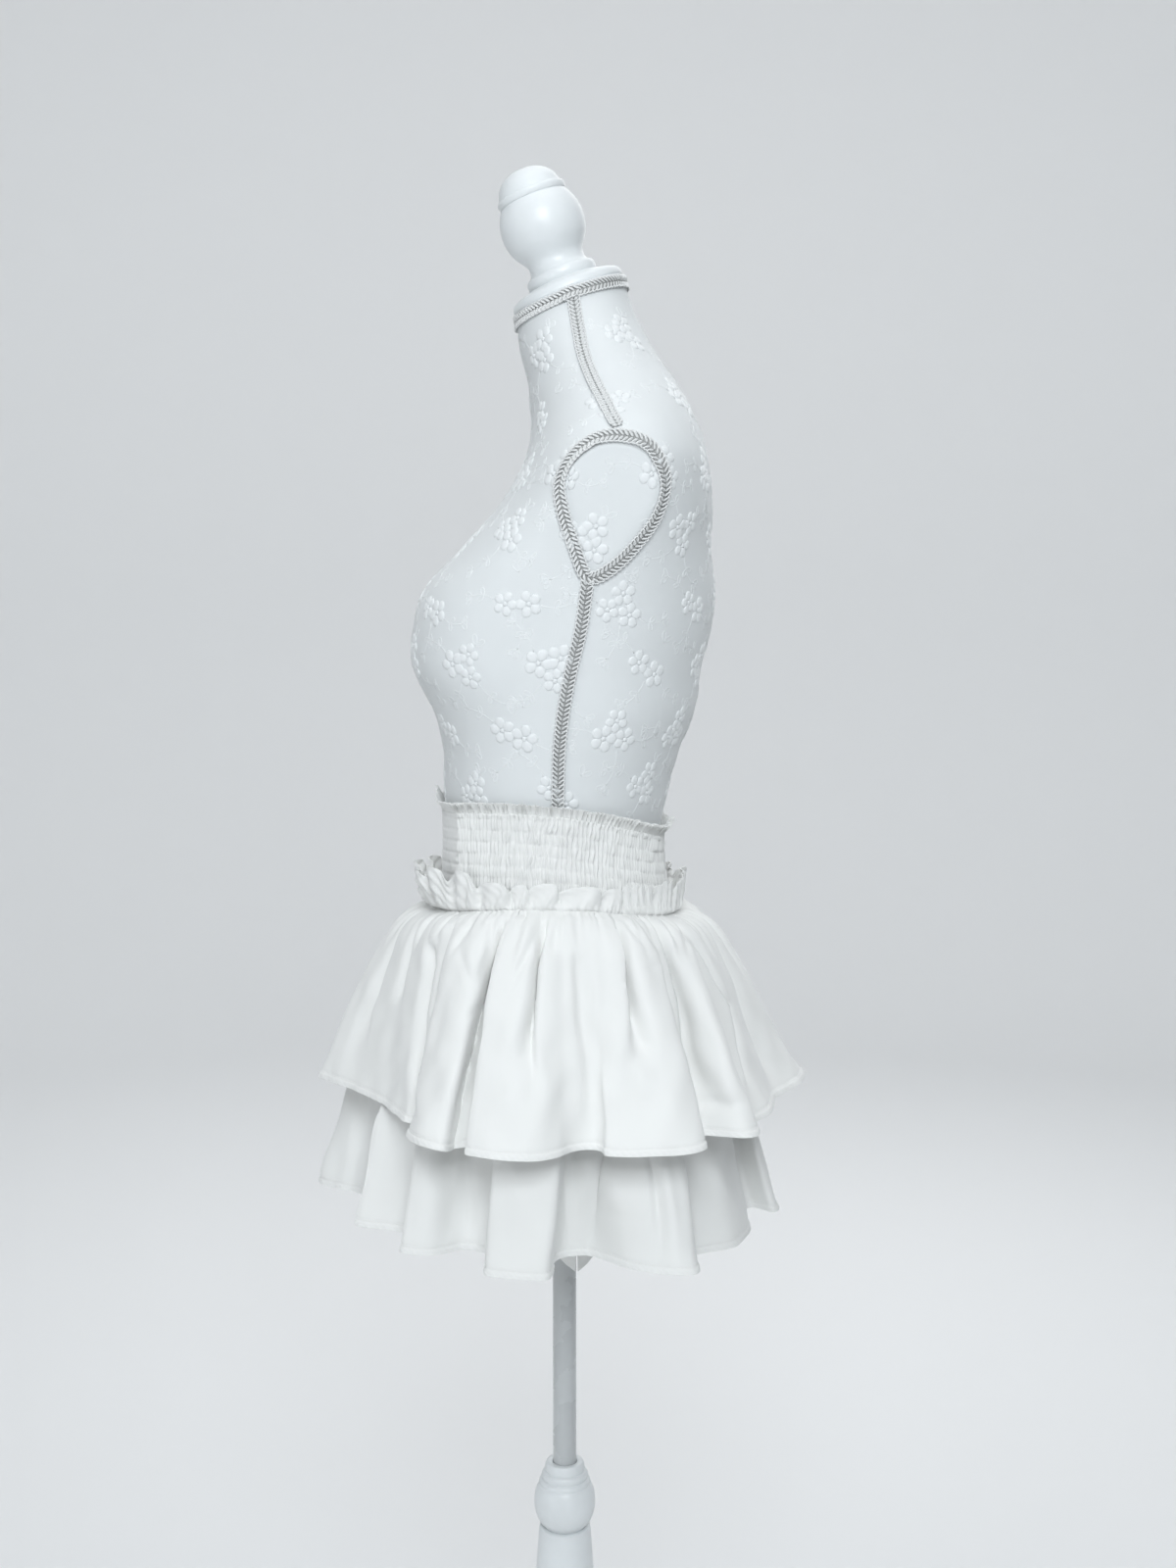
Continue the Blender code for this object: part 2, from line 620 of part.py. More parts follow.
# --------------------------------------------------------------------- skort
def band_rows(start_deg, end_deg, columns, rows):
    """Grid of the waistband's outer face between two angles."""
    grid = []
    for r in range(rows + 1):
        line = []
        for c in range(-1, columns + 2):
            angle = math.radians(start_deg + (end_deg - start_deg) * c / columns)
            top, low = belt_value(BAND_TOP, angle), belt_value(WAIST_SEAM, angle)
            line.append(form_point(angle, top + (low - top) * r / rows, BAND_OUT))
        grid.append(line)
    return grid


def build_waistband(collection, material):
    """Flat front panel and smocked back part of the high waistband."""
    half = FRONT_PANEL_HALF_ANGLE
    front = band_rows(-90 - half, -90 + half, 10, 4)
    wall_object("waistband_front", front, False, BAND_CLOTH, collection, material)
    back = band_rows(-90 + half, 270 - half, 38, 4)
    wall_object("waistband_back", back, False, BAND_CLOTH, collection, material)


def build_frill(collection, material):
    """Gathered header above the waistband, fluted and leaning outwards."""
    rows = []
    columns = 2 * FRILL_FLUTES
    for level in (1.0, 0.5, 0.0):
        line = []
        for c in range(columns):
            angle = 2 * math.pi * c / columns
            flute = FRILL_FLUTE_DEPTH * (1 if c % 2 else -1) * level
            out = BAND_OUT + (FRILL_FLARE + flute) * level
            height = belt_value(BAND_TOP, angle) + SEAM_GAP + FRILL_HEIGHT * level
            line.append(form_point(angle, height, out))
        rows.append(line)
    wall_object("waistband_frill", rows, True, CLOTH, collection, material)


def build_heading(collection, material):
    """Gathered heading that stands up over the foot of the waistband."""
    rows = []
    columns = 4 * HEADING_WAVES
    for level in (1.0, 0.5, 0.0):
        line = []
        for c in range(columns):
            angle = 2 * math.pi * c / columns
            wave = 1 + HEADING_WAVE * math.sin(HEADING_WAVES * angle)
            flare = belt_value(HEADING_FLARE, angle) * wave * level**0.8
            ripple = 1 - HEADING_RIPPLE + HEADING_RIPPLE * math.cos(2 * HEADING_WAVES * angle)
            rise = belt_value(HEADING_HEIGHT, angle) * ripple
            height = belt_value(WAIST_SEAM, angle) - TOP_GAP + SEAM_GAP + rise * level
            line.append(form_point(angle, height, HEADING_OUT + flare))
        rows.append(line)
    wall_object("heading_ruffle", rows, True, CLOTH, collection, material)


def fold_radius(folds, angle_deg):
    """Radius of a hem at an angle, from its table of folds, which repeats each turn."""
    first = folds[0].angle_deg
    wrapped = (angle_deg - first) % 360 + first
    before = HemFold(folds[-1].angle_deg - 360, folds[-1].radius)
    after = [HemFold(fold.angle_deg + 360, fold.radius) for fold in folds[:2]]
    return table_value((before, *folds, *after), "angle_deg", "radius", wrapped)


def tier_radius(folds, mean_radius, waist_radius, angle_deg, drop):
    """Distance from the axis of a flounce at an angle and a share of its fall."""
    front = table_value(FLARE, "drop", "front", drop)
    back = table_value(FLARE, "drop", "back", drop)
    flare = front + (back - front) * (1 + math.sin(math.radians(angle_deg))) / 2
    fold = table_value(FLARE, "drop", "fold", drop)
    depth = fold_radius(folds, angle_deg) - mean_radius
    return waist_radius + (mean_radius - waist_radius) * flare + depth * fold


def waist_point(heading, out):
    """Point where a flounce leaves the waist seam, on a heading from the axis."""
    angle = form_angle(heading, WAIST_SEAM.side, out)
    return form_point(angle, belt_value(WAIST_SEAM, angle) - TOP_GAP, out)


def tier_point(folds, mean_radius, hem, waist_out, heading_deg, drop):
    """Point of a flounce's outer face."""
    heading = math.radians(heading_deg)
    waist = waist_point(heading, waist_out)
    radius = tier_radius(folds, mean_radius, math.hypot(waist.x, waist.y), heading_deg, drop)
    height = waist.z + (belt_value(hem, heading) - waist.z) * drop
    return Vector((radius * math.cos(heading), radius * math.sin(heading), height))


def upper_point(heading_deg, drop):
    """Point of the upper flounce."""
    return tier_point(UPPER_FOLDS, UPPER_MEAN_RADIUS, UPPER_HEM, UPPER_OUT, heading_deg, drop)


def lower_point(heading_deg, drop):
    """Point of the lower flounce, kept between the hips and the upper flounce."""
    point = tier_point(LOWER_FOLDS, LOWER_MEAN_RADIUS, LOWER_HEM, LOWER_OUT, heading_deg, drop)
    heading = math.radians(heading_deg)
    top = waist_point(heading, UPPER_OUT).z
    radius = math.hypot(point.x, point.y)
    upper_drop = (top - point.z) / (top - belt_value(UPPER_HEM, heading))
    if upper_drop <= 1.0:
        upper = upper_point(heading_deg, upper_drop)
        radius = min(radius, math.hypot(upper.x, upper.y) - CLOTH - TIER_CLEARANCE)
    hips = max(point.z, SHORTS_LEAVE_FORM)
    out = LOWER_OUT + (LOWER_HIP_OUT - LOWER_OUT) * min(1.0, 3 * drop)
    body = form_point(form_angle(heading, hips, out), hips, out)
    radius = max(radius, math.hypot(body.x, body.y) - LOWER_SLACK * (hips - point.z))
    return Vector((radius * math.cos(heading), radius * math.sin(heading), point.z))


def build_tier(name, surface, drops, seam_deg, collection, material):
    """Front and back of a flounce, between its two side seams."""
    left, right = seam_deg, -180 - seam_deg
    spans = {"front": (right, left), "back": (left, right + 360)}
    for part, (start, end) in spans.items():
        columns = round(TIER_COLUMNS * (end - start) / 360)
        rows = []
        for drop in drops:
            angles = [start + (end - start) * c / columns for c in range(-1, columns + 2)]
            rows.append([surface(angle, drop) for angle in angles])
        wall_object(f"{name}_{part}", rows, False, CLOTH, collection, material)


def shorts_point(sign, half, across, fall):
    """Point of one panel of the shorts.

    sign is 1 for the left leg and -1 for the right, half is -1 for the front
    and 1 for the back, across runs from the centre seam to the side seam, and
    fall from 0 to 1 down the form and on to 2 at the leg's hem.
    """
    centre_deg = 90 * half
    side_deg = 0 if sign > 0 else 180 * half
    angle = math.radians(centre_deg + (side_deg - centre_deg) * across)
    top = belt_value(WAIST_SEAM, angle) - TOP_GAP
    on_form = min(fall, 1.0)
    height = top + (SHORTS_LEAVE_FORM - top) * on_form
    point = form_point(angle, height, SHORTS_OUT + HIP_EASE * math.sin(math.pi / 2 * on_form))
    if fall <= 1.0:
        return point
    hem_x = CROTCH_X + (sign * LEG_SIDE_X - CROTCH_X) * across
    opening = max(0.0, (across - INSEAM_SHARE) / (1 - INSEAM_SHARE))
    hem_y = CROTCH_Y + half * (INSEAM_GAP + LEG_HALF_DEPTH * math.sin(math.pi * opening))
    rise = 1 - (1 - across) ** 3
    hem_z = CROTCH_HEIGHT + (LEG_SIDE_HEIGHT - CROTCH_HEIGHT) * rise
    hem = Vector((hem_x, hem_y, hem_z))
    t = fall - 1.0
    bend = point + Vector((0, 0, 0.5 * (hem.z - point.z)))
    return point * (1 - t) ** 2 + bend * 2 * t * (1 - t) + hem * t**2


def build_shorts(collection, material):
    """Four panels of the shorts, which hang free under the form."""
    falls = [r / SHORTS_ROWS_ON_FORM for r in range(SHORTS_ROWS_ON_FORM + 1)]
    falls += [1 + (r + 1) / SHORTS_ROWS_FREE for r in range(SHORTS_ROWS_FREE)]
    for side, sign in (("left", 1), ("right", -1)):
        for part, half in (("front", -1), ("back", 1)):
            rows = []
            for fall in falls:
                step = 1 / SHORTS_COLUMNS
                line = [shorts_point(-sign, half, step, fall)]
                line += [shorts_point(sign, half, c * step, fall) for c in range(SHORTS_COLUMNS + 1)]
                line.append(shorts_point(sign, -half, 1 - step, fall))
                if sign * half > 0:
                    line.reverse()
                rows.append(line)
            wall_object(f"shorts_{part}_{side}", rows, False, CLOTH, collection, material)


def main():
    """Build the whole object."""
    clear_scene()
    parts = make_collection("tiered_skort_on_dress_form")
    cutters = make_collection("cutters")

    satin = make_material("skort_cloth", (0.86, 0.87, 0.86), 0.48, 0.3)
    cover = make_material("form_cover", (0.82, 0.84, 0.85), 0.62, 0.1)
    braid = make_material("gimp_braid", (0.72, 0.73, 0.73), 0.60)
    paint = make_material("white_paint", (0.83, 0.86, 0.87), 0.30)
    steel = make_material("white_pole", (0.80, 0.81, 0.82), 0.28)

    torso = build_torso(parts, cutters, cover)
    build_socket(parts, steel)
    build_cap_and_finial(parts, paint)
    build_braids(torso, parts, braid)
    build_stand(parts, paint, steel)
    build_waistband(parts, satin)
    build_frill(parts, satin)
    build_heading(parts, satin)
    build_tier("upper_tier", upper_point, UPPER_DROPS, UPPER_SIDE_SEAM_DEG, parts, satin)
    build_tier("lower_tier", lower_point, LOWER_DROPS, LOWER_SIDE_SEAM_DEG, parts, satin)
    build_shorts(parts, satin)


main()
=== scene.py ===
"""Visual model of a white tiered skort on a limbless dress form and its stand.

Metres, +Z up, the form faces -Y and its left side is at +X. The origin is the
centre of the stand's underside. Angles around the body are measured from the
left side (+X): -90 degrees is the front and +90 the back.
"""

from __future__ import annotations

import logging
import math
from dataclasses import dataclass, field, replace
from enum import Enum
from typing import NamedTuple, Sequence

import bpy
import numpy as np
from mathutils import Matrix, Vector
from mathutils.bvhtree import BVHTree


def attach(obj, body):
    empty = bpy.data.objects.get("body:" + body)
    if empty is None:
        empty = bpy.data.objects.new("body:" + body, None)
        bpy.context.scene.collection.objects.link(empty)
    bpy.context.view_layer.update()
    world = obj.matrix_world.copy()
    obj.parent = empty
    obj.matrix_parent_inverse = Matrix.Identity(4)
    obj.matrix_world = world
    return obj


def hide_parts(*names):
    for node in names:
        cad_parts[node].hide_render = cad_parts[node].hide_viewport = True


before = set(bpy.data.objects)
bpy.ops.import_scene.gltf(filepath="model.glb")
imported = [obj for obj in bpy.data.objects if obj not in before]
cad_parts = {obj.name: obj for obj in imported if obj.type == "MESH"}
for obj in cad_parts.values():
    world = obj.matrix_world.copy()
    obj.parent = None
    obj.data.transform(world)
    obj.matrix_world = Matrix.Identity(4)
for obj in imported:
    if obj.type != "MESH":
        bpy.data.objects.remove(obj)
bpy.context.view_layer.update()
LOG = logging.getLogger("skort")

Array = np.ndarray
Item = bpy.types.Object
Material = bpy.types.Material
Socket = bpy.types.NodeSocket
Shade = tuple[float, float, float]
TAU = 2 * math.pi


class Body(Enum):
    """Moving bodies of the stand and the form."""

    STAND = "stand"
    MAST = "mast"
    FIGURE = "figure"


class Side(Enum):
    """Sides of the form, as the sign of X."""

    LEFT = 1
    RIGHT = -1


class Half(Enum):
    """Front and back halves, as the sign of Y."""

    FRONT = -1
    BACK = 1


class Bands(Enum):
    """Ways that a material's ridges follow one another."""

    ACROSS = "X"
    ALONG = "Y"
    SLANTED = "DIAGONAL"


# ------------------------------------------------------------------ numbers
def smooth_curve(keys: Sequence[float], values: Sequence[float], at: Array) -> Array:
    """Smooth curve through pairs, held level past both ends.

    Args:
        keys: Rising places of the pairs.
        values: Values at those places.
        at: Places to look up, of any shape.

    Returns:
        The curve's value at each place.
    """
    k, v = np.asarray(keys, float), np.asarray(values, float)
    before = np.maximum(np.arange(len(k)) - 1, 0)
    after = np.minimum(np.arange(len(k)) + 1, len(k) - 1)
    slope = (v[after] - v[before]) / (k[after] - k[before])
    at = np.clip(np.asarray(at, float), k[0], k[-1])
    i = np.clip(np.searchsorted(k, at, side="right") - 1, 0, len(k) - 2)
    width = k[i + 1] - k[i]
    t = (at - k[i]) / width
    return (
        v[i] * (2 * t**3 - 3 * t**2 + 1)
        + slope[i] * width * (t**3 - 2 * t**2 + t)
        + v[i + 1] * (3 * t**2 - 2 * t**3)
        + slope[i + 1] * width * (t**3 - t**2)
    )


def smooth_step(value: Array) -> Array:
    """Rise from 0 to 1 with level ends."""
    t = np.clip(value, 0.0, 1.0)
    return t * t * (3 - 2 * t)


def signed_power(value: Array, power: Array) -> Array:
    """Power that keeps the sign of its base."""
    return np.sign(value) * np.abs(value) ** power


def bell(offset: Array, width: Array | float) -> Array:
    """Bell curve of height 1 round 0, which falls to 0.37 at its width."""
    return np.exp(-((offset / width) ** 2))


def smoothing(count: int) -> Array:
    """Weights of a bell-shaped mean over an odd number of points."""
    window = np.hanning(count)
    return window / window.sum()


def heading_gap(heading: Array, other: Array | float) -> Array:
    """Way from another heading to this one, in degrees up to half a turn."""
    return (heading - other + 180) % 360 - 180


def unit(vectors: Array) -> Array:
    """Vectors of length 1 along the last axis."""
    return vectors / np.maximum(np.linalg.norm(vectors, axis=-1, keepdims=True), 1e-12)


def running_length(line: Array) -> Array:
    """Length along a line up to each of its points."""
    steps = np.linalg.norm(np.diff(line, axis=0), axis=1)
    return np.concatenate([[0], np.cumsum(steps)])


def travel(points: Array, closed: bool, axis: int = 0) -> Array:
    """Direction of lines at their points.

    Args:
        points: Points of one or more lines.
        closed: True if each line joins up.
        axis: The axis that the lines run along.

    Returns:
        The directions, of any length.
    """
    if closed:
        return np.roll(points, -1, axis) - np.roll(points, 1, axis)
    return np.gradient(points, axis=axis)


def spline(points: Array, per_span: int, closed: bool = False) -> Array:
    """Points of a smooth curve through the given points.

    Args:
        points: The points to pass through, one a row.
        per_span: Steps between two of them.
        closed: True if the last joins the first.

    Returns:
        The denser points, without a second copy of the first when closed.
    """
    p = np.asarray(points, float)
    if closed:
        p0, p1, p2, p3 = np.roll(p, 1, 0), p, np.roll(p, -1, 0), np.roll(p, -2, 0)
    else:
        wide = np.vstack([p[:1], p, p[-1:]])
        p0, p1, p2, p3 = wide[:-3], wide[1:-2], wide[2:-1], wide[3:]
    t = (np.arange(per_span) / per_span)[None, :, None]
    p0, p1, p2, p3 = (q[:, None, :] for q in (p0, p1, p2, p3))
    dense = 0.5 * (
        2 * p1 + (p2 - p0) * t + (2 * p0 - 5 * p1 + 4 * p2 - p3) * t**2
        + (3 * p1 - p0 - 3 * p2 + p3) * t**3
    )
    dense = dense.reshape(-1, p.shape[1])
    return dense if closed else np.vstack([dense, p[-1:]])


def even_path(points: Array, spacing: float, closed: bool = False) -> Array:
    """Points at even distances along a polyline.

    Args:
        points: The polyline.
        spacing: Rough distance between the new points.
        closed: True if the last joins the first.

    Returns:
        The new points.
    """
    line = np.vstack([points, points[:1]]) if closed else points
    length = running_length(line)
    steps = max(2, round(length[-1] / spacing))
    at = np.linspace(0, length[-1], steps + 1)
    if closed:
        at = at[:-1]
    return np.stack([np.interp(at, length, line[:, k]) for k in range(line.shape[1])], 1)


# ----------------------------------------------------------------- finishes
class NodeSheet:
    """Small builder for a material's nodes around its Principled shader."""

    def __init__(self, name: str) -> None:
        """Start an empty material with the given name.

        Args:
            name: The material's name.
        """
        self.material = bpy.data.materials.new(name)
        self.material.use_nodes = True
        self.tree = self.material.node_tree
        self.shader = self.tree.nodes["Principled BSDF"]

    def node(self, kind: str, **settings: object) -> bpy.types.Node:
        """Add a node and set its properties.

        Args:
            kind: Blender's name of the node.
            **settings: Its properties.

        Returns:
            The node.
        """
        made = self.tree.nodes.new(kind)
        for key, value in settings.items():
            setattr(made, key, value)
        return made

    def join(self, source: Socket, target: Socket) -> None:
        """Link two sockets."""
        self.tree.links.new(source, target)

    def place(self, uv: bool, scale: Sequence[float] = (1, 1, 1)) -> Socket:
        """Scaled coordinates of the piece.

        Args:
            uv: True for the piece's own flat layout, False for its place in the part.
            scale: Factor along each axis.

        Returns:
            The mapped vector.
        """
        source = self.node("ShaderNodeTexCoord").outputs["UV" if uv else "Object"]
        mapping = self.node("ShaderNodeMapping")
        mapping.inputs["Scale"].default_value = tuple(scale)
        self.join(source, mapping.inputs["Vector"])
        return mapping.outputs["Vector"]

    def noise(
        self, vector: Socket, scale: float, detail: float = 2.0, rough: float = 0.5
    ) -> Socket:
        """Grey noise.

        Args:
            vector: Coordinates.
            scale: How many swells there are in a unit.
            detail: Layers of finer noise.
            rough: Strength of the finer layers.

        Returns:
            The noise, from 0 to 1.
        """
        made = self.node("ShaderNodeTexNoise")
        made.inputs["Scale"].default_value = scale
        made.inputs["Detail"].default_value = detail
        made.inputs["Roughness"].default_value = rough
        self.join(vector, made.inputs["Vector"])
        return made.outputs["Fac"]

    def ridges(self, vector: Socket, bands: Bands, scale: float, wander: float = 0.0) -> Socket:
        """Parallel ridges, such as threads.

        Args:
            vector: Coordinates.
            bands: The way that the ridges follow one another.
            scale: Ridges in a unit, times about 3.14 / 20.
            wander: How much they waver.

        Returns:
            The ridges' height, from 0 to 1.
        """
        made = self.node("ShaderNodeTexWave", wave_type="BANDS", bands_direction=bands.value)
        made.inputs["Scale"].default_value = scale
        made.inputs["Distortion"].default_value = wander
        self.join(vector, made.inputs["Vector"])
        return made.outputs["Fac"]

    def sum(self, kind: str, first: object, second: object = 0.0, third: object = None) -> Socket:
        """One sum of a Math node.

        Args:
            kind: Blender's name of the sum.
            first: Socket or number.
            second: Socket or number, which some sums ignore.
            third: Socket or number of a sum of three.

        Returns:
            The result.
        """
        made = self.node("ShaderNodeMath", operation=kind)
        for place, value in zip(made.inputs, (first, second, third)):
            if isinstance(value, Socket):
                self.join(value, place)
            elif value is not None:
                place.default_value = value
        return made.outputs[0]

    def times(self, first: object, second: object) -> Socket:
        """Product of two sockets or numbers."""
        return self.sum("MULTIPLY", first, second)

    def weave(
        self, flat: Socket, threads: tuple[float, float], wander: float,
        slubs: tuple[float, float], strength: float,
    ) -> Socket:
        """Crossing threads with thicker places.

        Args:
            flat: The cloth's flat layout.
            threads: Scale of the threads across and along.
            wander: How much they waver.
            slubs: Scale of the thicker places across and along.
            strength: Their height beside the threads'.

        Returns:
            The height of the weave.
        """
        crossed = self.sum("ADD", *(
            self.ridges(flat, bands, scale, wander)
            for bands, scale in zip((Bands.ACROSS, Bands.ALONG), threads)
        ))
        thick = self.noise(self.place(True, (*slubs, 1)), 1.0)
        return self.sum("MULTIPLY_ADD", thick, strength, crossed)

    def shades(
        self, factor: Socket, low: Shade, high: Shade, start: float = 0.3, end: float = 0.7
    ) -> Socket:
        """Blend between two colours.

        Args:
            factor: What the blend follows, from 0 to 1.
            low: Colour up to the start.
            high: Colour from the end on.
            start: Factor at which the blend starts.
            end: Factor at which it ends.

        Returns:
            The colour.
        """
        made = self.node("ShaderNodeValToRGB")
        stops = zip(made.color_ramp.elements, (start, end), (low, high))
        for stop, position, colour in stops:
            stop.position = position
            stop.color = (*colour, 1.0)
        self.join(factor, made.inputs["Fac"])
        return made.outputs["Color"]

    def spread(self, factor: Socket, middle: float, below: float, above: float) -> Socket:
        """Stretch a factor of 0 to 1 to a range round a middle.

        Args:
            factor: The factor.
            middle: The middle value.
            below: How far below it the range starts.
            above: How far above it the range ends.

        Returns:
            The stretched value.
        """
        made = self.node("ShaderNodeMapRange")
        made.inputs["To Min"].default_value = middle - below
        made.inputs["To Max"].default_value = middle + above
        self.join(factor, made.inputs["Value"])
        return made.outputs["Result"]

    def relief(
        self, height: Socket, distance: float, strength: float = 1.0, over: Socket | None = None
    ) -> Socket:
        """Bump from a height.

        Args:
            height: Height from 0 to 1.
            distance: What a height of 1 stands for, in metres.
            strength: Share of the bump that shows.
            over: A normal that it lies over.

        Returns:
            The new normal.
        """
        made = self.node("ShaderNodeBump")
        made.inputs["Distance"].default_value = distance
        made.inputs["Strength"].default_value = strength
        self.join(height, made.inputs["Height"])
        if over is not None:
            self.join(over, made.inputs["Normal"])
        return made.outputs["Normal"]

    def finish(
        self, colour: Socket | Shade, roughness: Socket | float, normal: Socket | None = None,
        **fixed: object,
    ) -> Material:
        """Set or link the shader's sockets.

        Args:
            colour: Colour or socket.
            roughness: Number or socket.
            normal: Bumped normal.
            **fixed: Other sockets' numbers, with spaces written as underscores.

        Returns:
            The finished material.
        """
        for name, value in (("Base Color", colour), ("Roughness", roughness), ("Normal", normal)):
            if isinstance(value, Socket):
                self.join(value, self.shader.inputs[name])
            elif name == "Base Color":
                self.shader.inputs[name].default_value = (*value, 1.0)
            elif value is not None:
                self.shader.inputs[name].default_value = value
        for name, value in fixed.items():
            self.shader.inputs[name.replace("_", " ")].default_value = value
        return self.material


HEM_DEPTH = 0.0056
HEM_STITCH = 0.0060


@dataclass(frozen=True)
class SatinCrepe:
    """Soft white satin-backed crepe, with its threads and the hem's stitches."""

    name: str = "satin_crepe"
    light: Shade = (0.886, 0.890, 0.874)
    dark: Shade = (0.862, 0.866, 0.850)
    roughness: float = 0.62
    rough_swing: float = 0.05
    stitch: float = 0.0026
    stitch_share: float = 0.72
    stitch_width: float = 0.0005
    pucker: float = 0.0054
    pucker_slant: float = 0.9
    pucker_wander: float = 5.0
    pucker_edge: float = 4.0

    def stitches(self, sheet: NodeSheet, along: Socket, above: Socket) -> Socket:
        """Row of stitches that holds the hem.

        Args:
            sheet: The material's nodes.
            along: Metres along the hem.
            above: Metres above the hem.

        Returns:
            Height of the thread, from 0 to 1.
        """
        off_line = sheet.sum("ABSOLUTE", sheet.sum("SUBTRACT", above, HEM_STITCH))
        on_line = sheet.sum("SUBTRACT", 1.0, sheet.times(off_line, 1 / self.stitch_width))
        beat = sheet.sum("FRACT", sheet.times(along, 1 / self.stitch))
        dash = sheet.sum("LESS_THAN", beat, self.stitch_share)
        return sheet.times(sheet.sum("MAXIMUM", on_line), dash)

    def puckers(self, sheet: NodeSheet, flat: Socket, along: Socket, above: Socket) -> Socket:
        """Slanting puckers of the rolled hem.

        Args:
            sheet: The material's nodes.
            flat: The cloth's flat layout.
            along: Metres along the hem.
            above: Metres above the hem.

        Returns:
            Height of the puckers, from 0 to 1.
        """
        slant = sheet.sum("ADD", along, sheet.times(above, self.pucker_slant))
        uneven = sheet.times(sheet.noise(flat, 40.0, 1.0), self.pucker_wander)
        turns = sheet.sum("ADD", sheet.times(slant, TAU / self.pucker), uneven)
        wound = sheet.sum("ABSOLUTE", sheet.sum("SINE", sheet.times(turns, 0.5)))
        inside = sheet.sum("SUBTRACT", 1.0, sheet.times(above, 1 / HEM_DEPTH))
        steep = sheet.times(sheet.sum("MAXIMUM", inside), self.pucker_edge)
        return sheet.times(wound, sheet.sum("MINIMUM", steep, 1.0))

    def material(self) -> Material:
        """Make the material, which reads the cloth's flat layout in metres.

        Returns:
            The material.
        """
        sheet = NodeSheet(self.name)
        flat = sheet.place(True)
        cloudy = sheet.noise(flat, 14.0, 3.0)
        split = sheet.node("ShaderNodeSeparateXYZ")
        sheet.join(flat, split.inputs[0])
        along, above = split.outputs["X"], split.outputs["Y"]
        weave = sheet.weave(flat, (420.0, 480.0), 0.6, (900, 160), 0.9)
        normal = sheet.relief(weave, 0.00004, 0.35)
        normal = sheet.relief(self.puckers(sheet, flat, along, above), 0.00030, 0.5, normal)
        normal = sheet.relief(self.stitches(sheet, along, above), 0.00030, 0.7, normal)
        return sheet.finish(
            sheet.shades(cloudy, self.dark, self.light),
            sheet.spread(cloudy, self.roughness, self.rough_swing, self.rough_swing), normal,
            Sheen_Weight=0.22, Sheen_Roughness=0.40, Sheen_Tint=(0.95, 0.97, 1.0, 1.0),
            Specular_IOR_Level=0.20,
        )


@dataclass(frozen=True)
class CoverCloth:
    """Fine plain-woven cotton stretched over the form."""

    name: str = "cover_cloth"
    light: Shade = (0.800, 0.825, 0.832)
    dark: Shade = (0.775, 0.800, 0.806)
    roughness: float = 0.62

    def material(self) -> Material:
        """Make the material.

        Returns:
            The material.
        """
        sheet = NodeSheet(self.name)
        cloudy = sheet.noise(sheet.place(False), 22.0, 3.0)
        weave = sheet.weave(sheet.place(True), (300.0, 300.0), 0.8, (220, 900), 0.8)
        normal = sheet.relief(cloudy, 0.0006, 0.25, sheet.relief(weave, 0.00005, 0.4))
        return sheet.finish(
            sheet.shades(cloudy, self.dark, self.light), self.roughness, normal,
            Sheen_Weight=0.12, Specular_IOR_Level=0.3,
        )


@dataclass(frozen=True)
class TwistedThread:
    """Thread or cord whose twist shows as fine ridges under a little fuzz, with painted shade in
    the twist's grooves.
    """

    name: str
    light: Shade
    # dark is the painted shade of the twist's grooves
    dark: Shade
    roughness: float
    along_piece: bool
    twist: float
    wander: float
    fuzz: float
    relief: tuple[float, float]
    blend_end: float
    sheen: float
    specular: float

    def material(self) -> Material:
        """Make the material.

        Returns:
            The material.
        """
        sheet = NodeSheet(self.name)
        place = sheet.place(self.along_piece)
        twist = sheet.ridges(place, Bands.SLANTED, self.twist, self.wander)
        fuzz = sheet.noise(sheet.place(False), self.fuzz)
        normal = sheet.relief(sheet.sum("ADD", twist, fuzz), *self.relief)
        # The colour follows the twist: painted shade, darker in its grooves.
        return sheet.finish(
            sheet.shades(twist, self.dark, self.light, 0.0, self.blend_end), self.roughness,
            normal, Sheen_Weight=self.sheen, Specular_IOR_Level=self.specular,
        )


# The dark shade of each thread is painted shade in its twist's grooves.
EMBROIDERY_THREAD = TwistedThread(
    "embroidery_thread", (0.860, 0.882, 0.888), (0.815, 0.838, 0.845), 0.42, False, 420.0, 3.0,
    900.0, (0.00012, 0.5), 0.6, 0.25, 0.45,
)
BRAID_CORD = TwistedThread(
    "braid_cord", (0.860, 0.868, 0.864), (0.730, 0.742, 0.738), 0.45, True, 260.0, 0.6,
    700.0, (0.00015, 0.6), 0.55, 0.2, 0.4,
)
# The tape's grey is painted shade between the braid's curls.
BRAID_SHADE_TAPE = replace(
    BRAID_CORD, name="braid_tape", light=(0.50, 0.505, 0.50), dark=(0.42, 0.425, 0.42),
    roughness=0.8,
)


@dataclass(frozen=True)
class SatinPaint:
    """White satin paint over turned wood or steel."""

    name: str = "satin_paint"
    light: Shade = (0.830, 0.860, 0.872)
    dark: Shade = (0.790, 0.818, 0.828)
    roughness: float = 0.38
    grain: float = 0.00012
    coat: float = 0.12

    def material(self) -> Material:
        """Make the material, with faint turning marks and a soft orange peel.

        Returns:
            The material.
        """
        sheet = NodeSheet(self.name)
        place = sheet.place(False)
        cloudy = sheet.noise(place, 30.0, 4.0)
        marks = sheet.noise(sheet.place(False, (6, 6, 500)), 1.0, 3.0)
        peel = sheet.noise(place, 420.0, 1.0)
        normal = sheet.relief(sheet.sum("MULTIPLY_ADD", peel, 0.6, marks), self.grain, 0.4)
        return sheet.finish(
            sheet.shades(cloudy, self.dark, self.light, 0.35, 0.6),
            sheet.spread(cloudy, self.roughness, 0.05, 0.08), normal,
            Coat_Weight=self.coat, Coat_Roughness=0.25, Specular_IOR_Level=0.5,
        )


